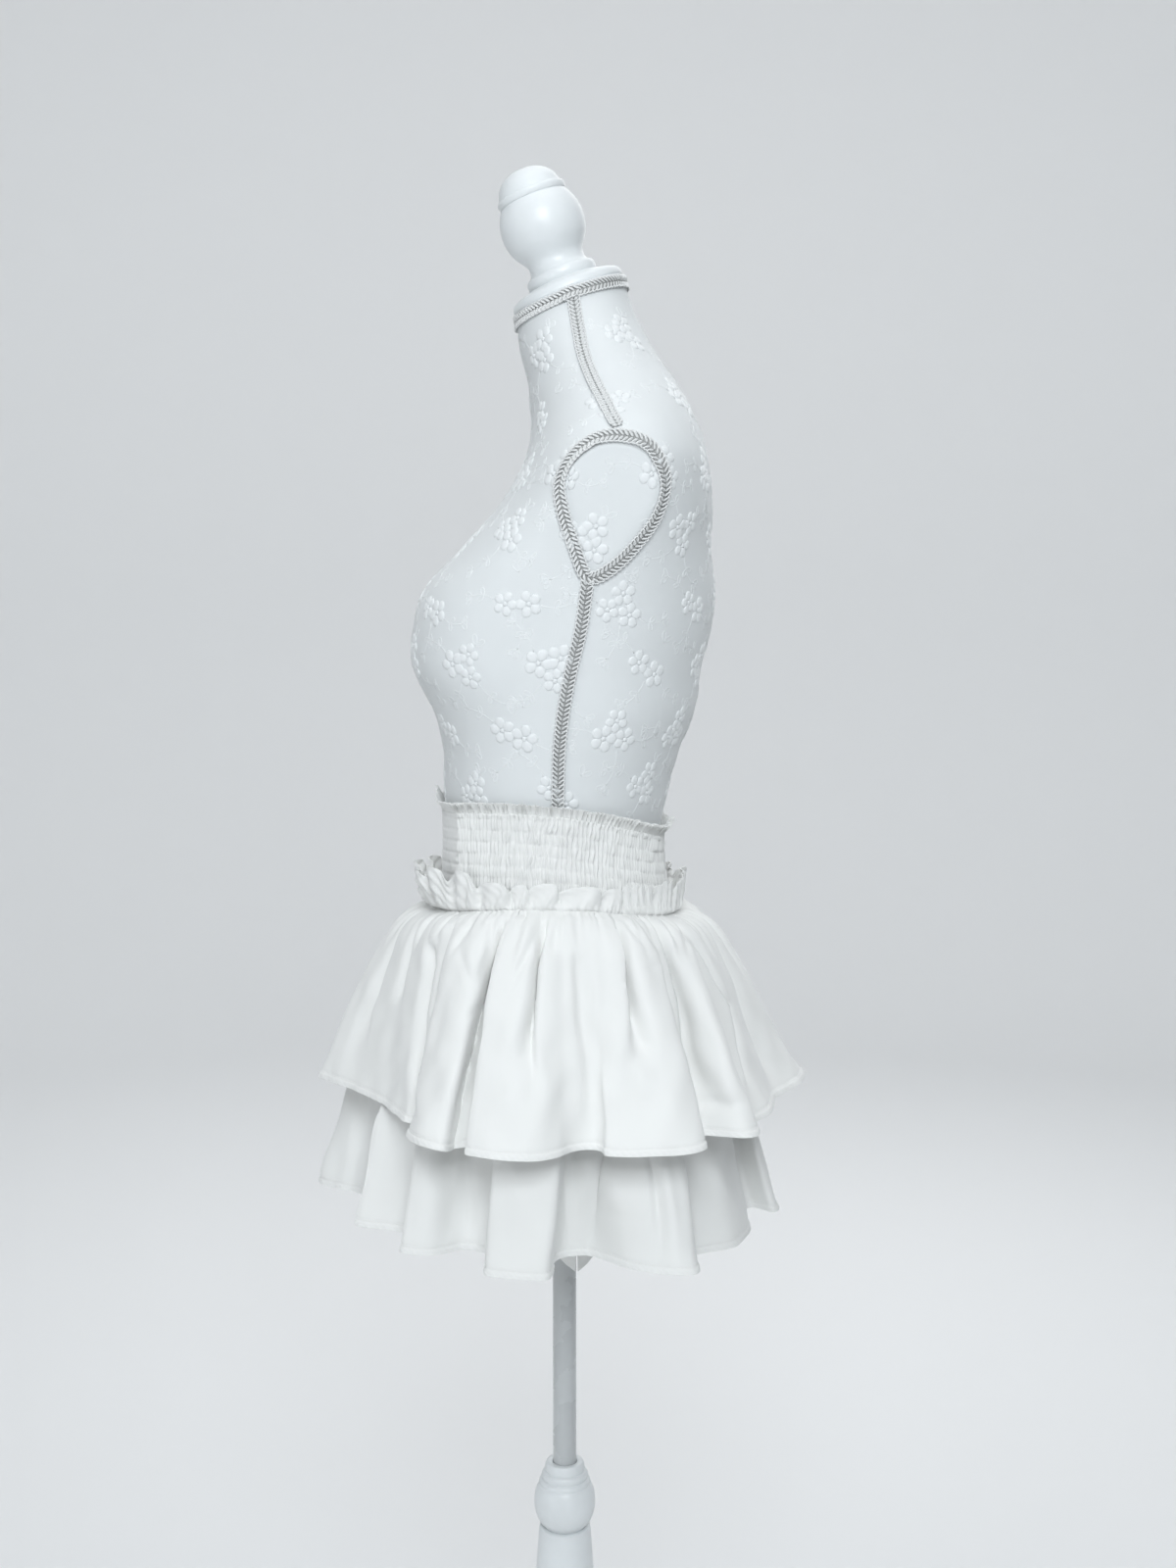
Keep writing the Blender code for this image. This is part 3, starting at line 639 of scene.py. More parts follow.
@dataclass(frozen=True)
class StudioPaper:
    """Plain pale paper of the floor and its upturned rim."""

    name: str = "studio_paper"
    colour: Shade = (0.775, 0.785, 0.790)
    roughness: float = 0.9

    def material(self) -> Material:
        """Make the material.

        Returns:
            The material.
        """
        sheet = NodeSheet(self.name)
        fine = sheet.relief(sheet.noise(sheet.place(False), 60.0, 3.0), 0.0004, 0.2)
        return sheet.finish(self.colour, self.roughness, fine, Specular_IOR_Level=0.1)


# ------------------------------------------------------------- mesh helpers
def select_only(item: Item | None) -> None:
    """Deselect everything, and select and activate one object if given.

    Args:
        item: The piece, or None to leave nothing selected.
    """
    if bpy.context.object is not None and bpy.context.object.mode != "OBJECT":
        bpy.ops.object.mode_set(mode="OBJECT")
    for other in list(bpy.context.selected_objects):
        other.select_set(False)
    bpy.context.view_layer.objects.active = item
    if item is not None:
        item.select_set(True)


def apply_modifier(item: Item, kind: str, **settings: object) -> None:
    """Add a modifier with its settings and apply it.

    Args:
        item: The piece.
        kind: Blender's name of the modifier.
        **settings: Its properties.
    """
    made = item.modifiers.new(kind.title(), kind)
    for key, value in settings.items():
        setattr(made, key, value)
    select_only(item)
    bpy.ops.object.modifier_apply(modifier=made.name)


def face_outwards(item: Item, merge: float = 0.0) -> None:
    """Turn a closed piece's faces outwards.

    Args:
        item: The piece.
        merge: Distance within which points are first made one, or 0.
    """
    select_only(item)
    bpy.ops.object.mode_set(mode="EDIT")
    bpy.ops.mesh.select_all(action="SELECT")
    if merge:
        bpy.ops.mesh.remove_doubles(threshold=merge)
    bpy.ops.mesh.normals_make_consistent(inside=False)
    bpy.ops.object.mode_set(mode="OBJECT")


def extrude_ring(now: Sequence[float], following: Sequence[float]) -> None:
    """Extrude the selected ring to its next radius and height.

    Args:
        now: Its radius and height.
        following: Those of the new ring.
    """
    bpy.ops.mesh.extrude_region_move(
        TRANSFORM_OT_translate={"value": (0, 0, following[1] - now[1])}
    )
    scale = following[0] / now[0]
    bpy.ops.transform.resize(value=(scale, scale, 1), center_override=(0, 0, following[1]))


def mesh_piece(
    name: str, points: Array, faces: Sequence[Sequence[int]], finish: Material,
    corners: Array | None = None,
) -> Item:
    """Make a smooth-shaded piece from points and faces.

    Args:
        name: The piece's name.
        points: Its points, one a row.
        faces: Its faces, as rows of point numbers.
        finish: Its material.
        corners: Flat layout in metres of each face's corners.

    Returns:
        The new object, at the origin.
    """
    mesh = bpy.data.meshes.new(name)
    rows = faces.tolist() if isinstance(faces, np.ndarray) else list(faces)
    mesh.from_pydata(points.tolist(), [], rows)
    if corners is not None:
        layer = mesh.uv_layers.new(name="Flat")
        layer.data.foreach_set("uv", np.ascontiguousarray(corners, np.float32).ravel())
    mesh.shade_smooth()
    mesh.materials.append(finish)
    item = bpy.data.objects.new(name, mesh)
    bpy.context.scene.collection.objects.link(item)
    return item


def grid_faces(rows: int, columns: int, closed: bool, first: int = 0) -> Array:
    """Faces of a grid of points that face outwards.

    Args:
        rows: Rows of points, from top to bottom.
        columns: Points in a row, anticlockwise seen from above.
        closed: True if each row joins up.
        first: Number of the grid's first point.

    Returns:
        Four point numbers a face.
    """
    r = np.arange(rows - 1)[:, None]
    c = np.arange(columns if closed else columns - 1)[None, :]
    after = (c + 1) % columns
    low, high = (r + 1) * columns, r * columns
    quads = np.stack([low + c, low + after, high + after, high + c], -1)
    return quads.reshape(-1, 4) + first


def grid_corners(across: Array, down: Array) -> Array:
    """Flat layout of a grid's faces.

    Args:
        across: Metres along the cloth of each column's edges, one more than the faces.
        down: Metres of each row, measured upwards.

    Returns:
        The layout of each face's four corners.
    """
    u, v = np.meshgrid(across, down)
    flat = np.stack([u, v], -1)
    return np.stack([flat[1:, :-1], flat[1:, 1:], flat[:-1, 1:], flat[:-1, :-1]], 2).reshape(-1, 2)


def grid_normals(points: Array, closed: bool) -> Array:
    """Outward normals of a grid of points."""
    return unit(np.cross(travel(points, closed, 1), -np.gradient(points, axis=0)))


def cloth_piece(
    name: str, points: Array, closed: bool, thickness: float, finish: Material,
    across: Array, down: Array,
) -> Item:
    """Make a cloth of even thickness behind a grid of points.

    Args:
        name: The piece's name.
        points: Rows, columns and places of its outer face.
        closed: True if it goes right round.
        thickness: Its thickness.
        finish: Its material.
        across: Metres along the cloth of each column's edges.
        down: Metres of each row above the hem.

    Returns:
        The new object.
    """
    faces = grid_faces(points.shape[0], points.shape[1], closed)
    item = mesh_piece(
        name, points.reshape(-1, 3), faces, finish, grid_corners(across, down)
    )
    apply_modifier(item, "SOLIDIFY", thickness=thickness, offset=-1.0, use_rim=True)
    select_only(item)
    bpy.ops.object.shade_smooth_by_angle(angle=math.radians(62))
    return item


def lined_piece(
    name: str, outer: Array, inner: Array, closed: bool, finish: Material,
    across: Array, down: Array,
) -> Item:
    """Make a cloth from a fine outer grid and a plain inner one of as many columns.

    Args:
        name: The piece's name.
        outer: Points of the outer face.
        inner: Points of the inner face, in fewer rows.
        closed: True if it goes right round.
        finish: Its material.
        across: Metres along the cloth of each column's edges.
        down: Metres of each outer row above the foot.

    Returns:
        The new object.
    """
    rows, columns = outer.shape[:2]
    inner_rows = inner.shape[0]
    start = rows * columns
    faces = [grid_faces(rows, columns, closed)]
    corners = [grid_corners(across, down)]
    faces.append(grid_faces(inner_rows, columns, closed, start)[:, ::-1])
    inner_down = np.linspace(down[0], down[-1], inner_rows)
    corners.append(grid_corners(across, inner_down).reshape(-1, 4, 2)[:, ::-1].reshape(-1, 2))
    c = np.arange(columns if closed else columns - 1)
    after = (c + 1) % columns
    low, inner_low = (rows - 1) * columns, start + (inner_rows - 1) * columns
    faces.append(np.stack([c, after, start + after, start + c], 1))
    faces.append(np.stack([inner_low + c, inner_low + after, low + after, low + c], 1))
    for height in (down[0], down[-1]):
        rim = np.zeros((len(c), 4, 2))
        rim[:, :, 0] = across[:-1, None]
        rim[:, :, 1] = height
        corners.append(rim.reshape(-1, 2))
    rows_of = [face for block in faces for face in block.tolist()]
    if not closed:
        for end, step in ((0, 1), (columns - 1, -1)):
            outer_edge = [r * columns + end for r in range(rows)]
            inner_edge = [start + r * columns + end for r in range(inner_rows)]
            ring = outer_edge + inner_edge[::-1]
            rows_of.append(ring[::-step])
            corners.append(np.zeros((len(ring), 2)))
    points = np.vstack([outer.reshape(-1, 3), inner.reshape(-1, 3)])
    return mesh_piece(name, points, rows_of, finish, np.vstack(corners))


def tube_parts(
    path: Array, up: Array, radius: float, sides: int, closed: bool, flatten: float = 1.0
) -> tuple[Array, Array, Array]:
    """Points, faces and flat layout of a cord along a path.

    Args:
        path: Centre of the cord.
        up: Direction away from the ground it lies on, at each point.
        radius: The cord's radius.
        sides: Faces around it.
        closed: True if it joins up.
        flatten: Height of its section beside its width.

    Returns:
        Points, four-cornered faces, and their corners' layout.
    """
    along = unit(travel(path, closed))
    side = unit(np.cross(along, up))
    rise = unit(np.cross(side, along))
    turn = TAU * (np.arange(sides) + (0.75 if sides == 3 else 0.5)) / sides
    ring = (
        side[:, None, :] * np.cos(turn)[None, :, None]
        + rise[:, None, :] * (flatten * np.sin(turn))[None, :, None]
    )
    points = (path[:, None, :] + radius * ring).reshape(-1, 3)
    count = len(path)
    i = np.arange(count if closed else count - 1)[:, None]
    k = np.arange(sides)[None, :]
    j, m = (i + 1) % count, (k + 1) % sides
    faces = np.stack([j * sides + k, j * sides + m, i * sides + m, i * sides + k], -1)
    length = running_length(path)
    if closed:
        length = np.append(length, length[-1] + np.linalg.norm(path[0] - path[-1]))
    around = np.arange(sides + 1) * (TAU * radius / sides)
    u, v = np.meshgrid(length, around, indexing="ij")
    flat = np.stack([u, v], -1)
    spans = len(i)
    corners = np.stack(
        [flat[1:spans + 1, :-1], flat[1:spans + 1, 1:], flat[:spans, 1:], flat[:spans, :-1]], 2
    )
    return points, faces.reshape(-1, 4), corners.reshape(-1, 4, 2)


def join_parts(
    name: str, parts: Sequence[tuple[Array, Array, Array]], finish: Material,
    ends: int = 0,
) -> Item:
    """One piece from many cords.

    Args:
        name: The piece's name.
        parts: Points, faces and layout of each.
        finish: Its material.
        ends: Sides of the cords' open ends, to be shut with a face, or 0.

    Returns:
        The new object.
    """
    points, faces, corners, start = [], [], [], 0
    for place, quads, flat in parts:
        points.append(place)
        faces.extend((quads + start).tolist())
        corners.append(flat.reshape(-1, 2))
        if ends:
            last = start + len(place)
            faces.append(list(range(start, start + ends)))
            faces.append(list(range(last - ends, last))[::-1])
            corners.append(np.zeros((2 * ends, 2)))
        start += len(place)
    item = mesh_piece(name, np.vstack(points), faces, finish, np.vstack(corners))
    select_only(item)
    bpy.ops.object.shade_smooth_by_angle(angle=math.radians(110))
    return item


def dress(piece: Item, body: Body, slot: str, *nodes: str) -> Item:
    """Attach a piece to its body and hide the solids it stands for.

    Args:
        piece: The piece.
        body: The body that it rides on.
        slot: Its finish's slot in the record; not used.
        *nodes: The solids that it stands for.

    Returns:
        The piece.
    """
    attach(piece, body.value)
    if nodes:
        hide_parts(*nodes)
    LOG.info("%s: %d faces on %s", piece.name, len(piece.data.polygons), body.value)
    return piece


# --------------------------------------------------------------- form shape
class FormRing(NamedTuple):
    """Section of the form at a height."""

    height: float
    centre_y: float
    half_depth: float
    half_width: float
    front_square: float
    back_square: float
    tilt_deg: float


FORM_RINGS = tuple(FormRing(*row) for row in (
    (0.815, 0.0030, 0.1000, 0.136, 2.20, 2.20, 0.0),
    (0.840, 0.0040, 0.1030, 0.140, 2.20, 2.20, 0.0),
    (0.880, 0.0010, 0.1005, 0.135, 2.20, 2.20, 0.0),
    (0.920, -0.0030, 0.0940, 0.126, 2.20, 2.20, 0.0),
    (0.950, -0.0055, 0.0885, 0.118, 2.20, 2.20, 0.0),
    (0.975, -0.0080, 0.0845, 0.113, 2.20, 2.20, 0.0),
    (1.000, -0.0085, 0.0830, 0.111, 2.20, 2.20, 0.0),
    (1.020, -0.0075, 0.0840, 0.112, 2.20, 2.20, 0.0),
    (1.047, -0.0055, 0.0875, 0.116, 2.20, 2.20, 0.0),
    (1.078, -0.0012, 0.0925, 0.122, 2.30, 2.20, 0.0),
    (1.108, 0.0005, 0.1020, 0.128, 2.45, 2.25, 0.0),
    (1.139, -0.0045, 0.1115, 0.133, 2.60, 2.30, 0.0),
    (1.170, -0.0007, 0.1150, 0.137, 2.65, 2.30, 0.0),
    (1.200, 0.0055, 0.1110, 0.141, 2.60, 2.35, 0.0),
    (1.230, 0.0177, 0.0955, 0.148, 2.50, 2.40, 0.0),
    (1.260, 0.0316, 0.0825, 0.157, 2.40, 2.40, 0.0),
    (1.290, 0.0396, 0.0713, 0.163, 2.30, 2.40, 0.0),
    (1.310, 0.0410, 0.0665, 0.152, 2.20, 2.30, 0.0),
    (1.330, 0.0375, 0.0615, 0.129, 2.10, 2.20, 3.0),
    (1.350, 0.0300, 0.0560, 0.103, 2.00, 2.10, 8.0),
    (1.370, 0.0215, 0.0495, 0.080, 2.00, 2.00, 13.0),
    (1.395, 0.0110, 0.0460, 0.060, 2.00, 2.00, 18.0),
    (1.4225, 0.0047, 0.0437, 0.048, 2.00, 2.00, 21.0),
))


@dataclass(frozen=True)
class FormShape:
    """Smooth shape of the dress form, which every cloth follows."""

    plate_low: float = 1.205
    plate_high: float = 1.310
    plate_low_x: float = 0.1415
    plate_high_x: float = 0.1570
    plate_edge: float = 0.0010

    def column(self, name: str, heights: Array) -> Array:
        """One measure of the form's sections at the given heights."""
        keys = [ring.height for ring in FORM_RINGS]
        return smooth_curve(keys, [getattr(ring, name) for ring in FORM_RINGS], heights)

    def points(self, angles: Array, heights: Array, out: Array | float = 0.0) -> Array:
        """Points of the form's surface, or of a larger form outside it.

        Args:
            angles: Angles of the section, in radians.
            heights: Heights in metres.
            out: Distance outside the form.

        Returns:
            Places, along one more axis.
        """
        angles, heights, out = np.broadcast_arrays(angles, heights, out)
        sine, cosine = np.sin(angles), np.cos(angles)
        square = np.where(
            sine < 0, self.column("front_square", heights), self.column("back_square", heights)
        )
        x = (self.column("half_width", heights) + out) * signed_power(cosine, 2 / square)
        depth = (self.column("half_depth", heights) + out) * signed_power(sine, 2 / square)
        share = (heights - self.plate_low) / (self.plate_high - self.plate_low)
        limit = self.plate_low_x + share * (self.plate_high_x - self.plate_low_x) + out
        room = (limit - np.abs(x)) / self.plate_edge
        cut = limit - self.plate_edge * np.logaddexp(0, room)
        x = np.where(heights > self.plate_low - 0.004, np.sign(x) * cut, x)
        tilt = np.radians(self.column("tilt_deg", heights))
        y = self.column("centre_y", heights) + depth * np.cos(tilt)
        return np.stack([x, y, heights + depth * np.sin(tilt)], -1)

    def angle_to(self, heading: Array, heights: Array, out: float) -> Array:
        """Section angles at which the form crosses headings from the stand's axis.

        Args:
            heading: Headings in radians.
            heights: Heights in metres.
            out: Distance outside the form.

        Returns:
            The angles, in radians.
        """
        heading, heights = np.broadcast_arrays(heading, heights)
        angle = heading.astype(float).copy()
        for _ in range(12):
            point = self.points(angle, heights, out)
            error = heading - np.arctan2(point[..., 1], point[..., 0])
            angle += np.arctan2(np.sin(error), np.cos(error))
        return angle

    def radius(self, heading: Array, heights: Array, out: float) -> Array:
        """Distance from the stand's axis to the form on a heading."""
        point = self.points(self.angle_to(heading, heights, out), heights, out)
        return np.hypot(point[..., 0], point[..., 1])


class Belt(NamedTuple):
    """A measure that is known at the side, the front and the back of the body."""

    side: float
    front: float
    back: float

    def at(self, angle: Array) -> Array:
        """The measure at angles in radians.

        Args:
            angle: The angles.

        Returns:
            The measure at each.
        """
        along = np.sin(angle)
        lean = (self.back - self.front) / 2
        bend = (self.back + self.front) / 2 - self.side
        return self.side + lean * along + bend * along**2

    def toward(self, angle: Array, share: Array) -> Array:
        """The side's measure, blended by a share towards the front's or the back's."""
        return self.side + (self.at(np.sign(angle) * np.pi / 2) - self.side) * share


BAND_TOP = Belt(1.0345, 1.0290, 1.0090)
WAIST_SEAM = Belt(0.9670, 0.9540, 0.9500)
FORM = FormShape()


# --------------------------------------------------------------- dress form
@dataclass
class PaddedForm:
    """The covered body of the dress form."""

    low: float = 0.815
    high: float = 1.4225
    columns: int = 216
    rows: int = 116
    mean_radius: float = 0.115
    finish: CoverCloth = field(default_factory=CoverCloth)

    def build(self) -> Item:
        """Make the body with its flat underside and dress it.

        Returns:
            The padded cover.
        """
        angles = TAU * np.arange(self.columns) / self.columns
        heights = np.linspace(self.high, self.low, self.rows)
        points = FORM.points(angles[None, :], heights[:, None])
        faces = grid_faces(self.rows, self.columns, True)
        start = (self.rows - 1) * self.columns
        caps = [list(range(self.columns)), list(range(start, start + self.columns))[::-1]]
        across = TAU * np.arange(self.columns + 1) / self.columns * self.mean_radius
        corners = grid_corners(across, heights)
        flat = points.reshape(-1, 3)
        cap_corners = [flat[cap][:, :2] for cap in caps]
        item = mesh_piece(
            "form_cover", flat, faces.tolist() + caps, self.finish.material(),
            np.vstack([corners, *cap_corners]),
        )
        return dress(item, Body.FIGURE, "form_cover", "torso")


@dataclass
class Ground:
    """Dense surface of the form, on which trims and stitches are laid."""

    item: Item
    tree: BVHTree = field(init=False)

    def __post_init__(self) -> None:
        """Read the form's mesh once."""
        mesh = self.item.data
        corners = [vertex.co.copy() for vertex in mesh.vertices]
        self.tree = BVHTree.FromPolygons(corners, [tuple(p.vertices) for p in mesh.polygons])

    def drop(self, points: Array) -> tuple[Array, Array]:
        """Nearest places on the surface and the outward normals there.

        Args:
            points: Places near the form, one a row.

        Returns:
            Places and normals, one a row.
        """
        places, normals = np.empty_like(points), np.empty_like(points)
        for i, point in enumerate(points):
            near, facing = self.tree.find_nearest(Vector(point))[:2]
            places[i], normals[i] = near, facing
        return places, normals

    def shoot(self, start: Sequence[float], way: Sequence[float]) -> Array:
        """Place where a ray meets the surface."""
        return np.array(self.tree.ray_cast(Vector(start), Vector(way))[0])


FLOWER_SPOTS = ((-0.0085, -0.0030), (0.0088, -0.0048), (0.0012, 0.0102))
THIRD_FLOWER_CHANCE = 0.72
STEMS = (
    ((0.0165, -0.0060), -0.35, 0.9), ((-0.0165, 0.0010), math.pi - 0.30, 0.8),
    ((0.0030, -0.0130), -1.75, -0.7),
)
TOP_LEAVES = ((0.004, 0.0190), (0.9, 2.1))
PAD_RINGS = ((1.0, -0.25), (0.90, 0.45), (0.60, 0.92), (0.22, 1.0))


@dataclass
class Embroidery:
    """Raised white flowers, leaf loops and stems on the cover."""

    row_gap: float = 0.047
    column_gap: float = 0.074
    low: float = 1.050
    high: float = 1.405
    petal_length: float = 0.0044
    petal_width: float = 0.0039
    petal_rise: float = 0.0009
    petal_reach: float = 0.0058
    knot: float = 0.0019
    leaf_length: float = 0.0085
    leaf_width: float = 0.0048
    cord: float = 0.00055
    cord_sink: float = 0.22
    cord_flat: float = 0.62
    seed: int = 41
    flower_parts: list[tuple[Array, Array, Array]] = field(default_factory=list)
    cord_parts: list[tuple[Array, Array, Array]] = field(default_factory=list)

    def pad(self, length: float, width: float, rise: float, steps: int = 10) -> Array:
        """Rings of points of one padded stitch, from its foot to its top.

        Args:
            length: Half of its length, along X.
            width: Half of its width.
            rise: Its height.
            steps: Points in a ring.

        Returns:
            Rings, points and places.
        """
        turn = TAU * np.arange(steps) / steps
        rings = []
        for share, height in PAD_RINGS:
            taper = 1 + 0.10 * np.cos(turn)
            rings.append(np.stack([
                share * length * np.cos(turn), share * width * taper * np.sin(turn),
                np.full(steps, height * rise),
            ], 1))
        return np.array(rings)

    def lay(self, ground: Ground, rings: Array, centre: Array, frame_of: Array) -> None:
        """Lay one padded stitch on the form.

        Args:
            ground: The form's surface.
            rings: The stitch, in its own frame.
            centre: Its place on the form.
            frame_of: Its axes, one a row.
        """
        count, steps = rings.shape[:2]
        flat = rings.reshape(-1, 3)
        places, normals = ground.drop(centre + flat[:, :2] @ frame_of[:2])
        points = places + normals * flat[:, 2:3]
        i = np.arange(count - 1)[:, None]
        k = np.arange(steps)[None, :]
        m = (k + 1) % steps
        quads = np.stack(
            [i * steps + k, i * steps + m, (i + 1) * steps + m, (i + 1) * steps + k], -1
        ).reshape(-1, 4)
        corners = flat[quads][:, :, :2]
        self.flower_parts.append((points, quads, corners))

    def trace(self, ground: Ground, line: Array, centre: Array, frame_of: Array) -> None:
        """Lay one cord on the form along a line given in a motif's own frame.

        Args:
            ground: The form's surface.
            line: The line, in the motif's own frame.
            centre: The motif's place on the form.
            frame_of: Its axes, one a row.
        """
        places, normals = ground.drop(centre + line @ frame_of[:2])
        path = places + normals * self.cord * self.cord_sink
        self.cord_parts.append(tube_parts(path, normals, self.cord, 3, False, self.cord_flat))

    def loop(self, start: Array, angle: float, length: float, width: float) -> Array:
        """Line of one outlined leaf that leaves a point and comes back to it.

        Args:
            start: The point.
            angle: Way that the leaf points, in radians.
            length: Its length.
            width: Its width.

        Returns:
            The line, in the motif's own frame.
        """
        turn = np.linspace(0, TAU, 12)
        along = length * 0.5 * (1 - np.cos(turn))
        across = width * 0.5 * np.sin(turn) * (0.55 + 0.45 * along / length)
        cosine, sine = math.cos(angle), math.sin(angle)
        turned = (along * cosine - across * sine, along * sine + across * cosine)
        return start + np.stack(turned, 1)

    def spray(
        self, ground: Ground, start: Array, angle: float, length: float, bend: float,
        centre: Array, frame_of: Array,
    ) -> None:
        """Lay a bent stem that ends in leaf loops, with a pair of them on its way.

        Args:
            ground: The form's surface.
            start: Foot of the stem, in the motif's own frame.
            angle: Way that it sets out, in radians.
            length: Its length.
            bend: Its whole turn, in radians.
            centre: The motif's place on the form.
            frame_of: Its axes, one a row.
        """
        share = np.linspace(0, 1, 12)
        heading = angle + bend * (share - 0.3)
        step = length / 11
        line = start + np.concatenate([
            [[0, 0]],
            np.cumsum(np.stack([np.cos(heading[1:]), np.sin(heading[1:])], 1) * step, 0),
        ])
        self.trace(ground, line, centre, frame_of)
        tip, way = line[-1], heading[-1]
        for turn, size in ((-0.75, 0.0076), (0.75, 0.0076), (0.05, 0.0058)):
            self.trace(ground, self.loop(tip, way + turn, size, 0.0046), centre, frame_of)
        middle = line[5]
        for turn in (-1.0, 1.0):
            self.trace(
                ground, self.loop(middle, heading[5] + turn, 0.0062, 0.0042), centre, frame_of
            )

    def cluster(
        self, ground: Ground, centre: Array, normal: Array, spin: float,
        dice: np.random.Generator,
    ) -> None:
        """Lay a group of flowers with its sprays around a place on the form.

        Args:
            ground: The form's surface.
            centre: The place.
            normal: Outward normal there.
            spin: Turn of the group, in radians.
            dice: Source of its small differences.
        """
        right = unit(np.cross([0, 0, 1.0], normal))
        up = np.cross(normal, right)
        axis = np.array([right, up, normal])
        turned = np.array([
            math.cos(spin) * axis[0] + math.sin(spin) * axis[1],
            -math.sin(spin) * axis[0] + math.cos(spin) * axis[1], normal,
        ])
        spots = [np.array(spot) for spot in FLOWER_SPOTS]
        if dice.random() >= THIRD_FLOWER_CHANCE:
            spots.pop()
        petal = self.pad(self.petal_length, self.petal_width, self.petal_rise)
        knot = self.pad(self.knot, self.knot, self.petal_rise * 1.2, 8)
        for spot in spots:
            first = dice.random() * TAU
            size = 0.9 + 0.2 * dice.random()
            for k in range(5):
                way = first + TAU * k / 5
                out = np.array([math.cos(way), math.sin(way)])
                place = centre + (spot + out * self.petal_reach * size) @ turned[:2]
                petal_axis = np.array([
                    out[0] * turned[0] + out[1] * turned[1],
                    -out[1] * turned[0] + out[0] * turned[1], normal,
                ])
                self.lay(ground, petal * [size, size, 1], place, petal_axis)
            self.lay(ground, knot, centre + spot @ turned[:2], turned)
        for start, angle, bend in STEMS:
            length = 0.021 + 0.008 * dice.random()
            turn = angle + 0.3 * (dice.random() - 0.5)
            self.spray(ground, np.array(start), turn, length, bend, centre, turned)
        foot, ways = TOP_LEAVES
        for way in ways:
            leaf = self.loop(np.array(foot), way, self.leaf_length, self.leaf_width)
            self.trace(ground, leaf, centre, turned)

    def build(self, ground: Ground) -> None:
        """Cover the form with clusters in staggered rows and dress the two pieces.

        Args:
            ground: The form's surface.
        """
        dice = np.random.default_rng(self.seed)
        thread = EMBROIDERY_THREAD.material()
        rows = np.arange(self.low, self.high, self.row_gap)
        for n, height in enumerate(rows):
            angles = np.linspace(0, TAU, 721)
            ring = FORM.points(angles, np.full_like(angles, height))
            length = running_length(ring)
            count = max(3, round(length[-1] / self.column_gap))
            for k in range(count):
                at = (k + 0.5 * (n % 2) + 0.12 * (dice.random() - 0.5)) / count * length[-1]
                angle = np.interp(at % length[-1], length, angles)
                lift = 0.010 * (dice.random() - 0.5)
                spot = FORM.points(np.array([angle]), np.array([height + lift]))
                places, normals = ground.drop(spot)
                spin = -0.5 + 0.5 * (dice.random() - 0.5) + (0.4 if n % 2 else 0.0)
                self.cluster(ground, places[0], normals[0], spin, dice)
        flowers = self.shut("embroidered_flowers", thread)
        cords = join_parts("embroidered_stems", self.cord_parts, thread, ends=3)
        dress(flowers, Body.FIGURE, "form_cover")
        dress(cords, Body.FIGURE, "form_cover")

    def shut(self, name: str, thread: Material) -> Item:
        """Join the padded stitches, each shut at its top and foot.

        Args:
            name: The piece's name.
            thread: Its material.

        Returns:
            The piece.
        """
        points, faces, corners, start = [], [], [], 0
        for place, quads, flat in self.flower_parts:
            steps = len(place) // 4
            points.append(place)
            faces.extend((quads + start).tolist())
            faces.append([start + 3 * steps + k for k in range(steps)])
            faces.append([start + steps - 1 - k for k in range(steps)])
            corners.append(flat.reshape(-1, 2))
            corners.append(np.zeros((2 * steps, 2)))
            start += len(place)
        return mesh_piece(name, np.vstack(points), faces, thread, np.vstack(corners))


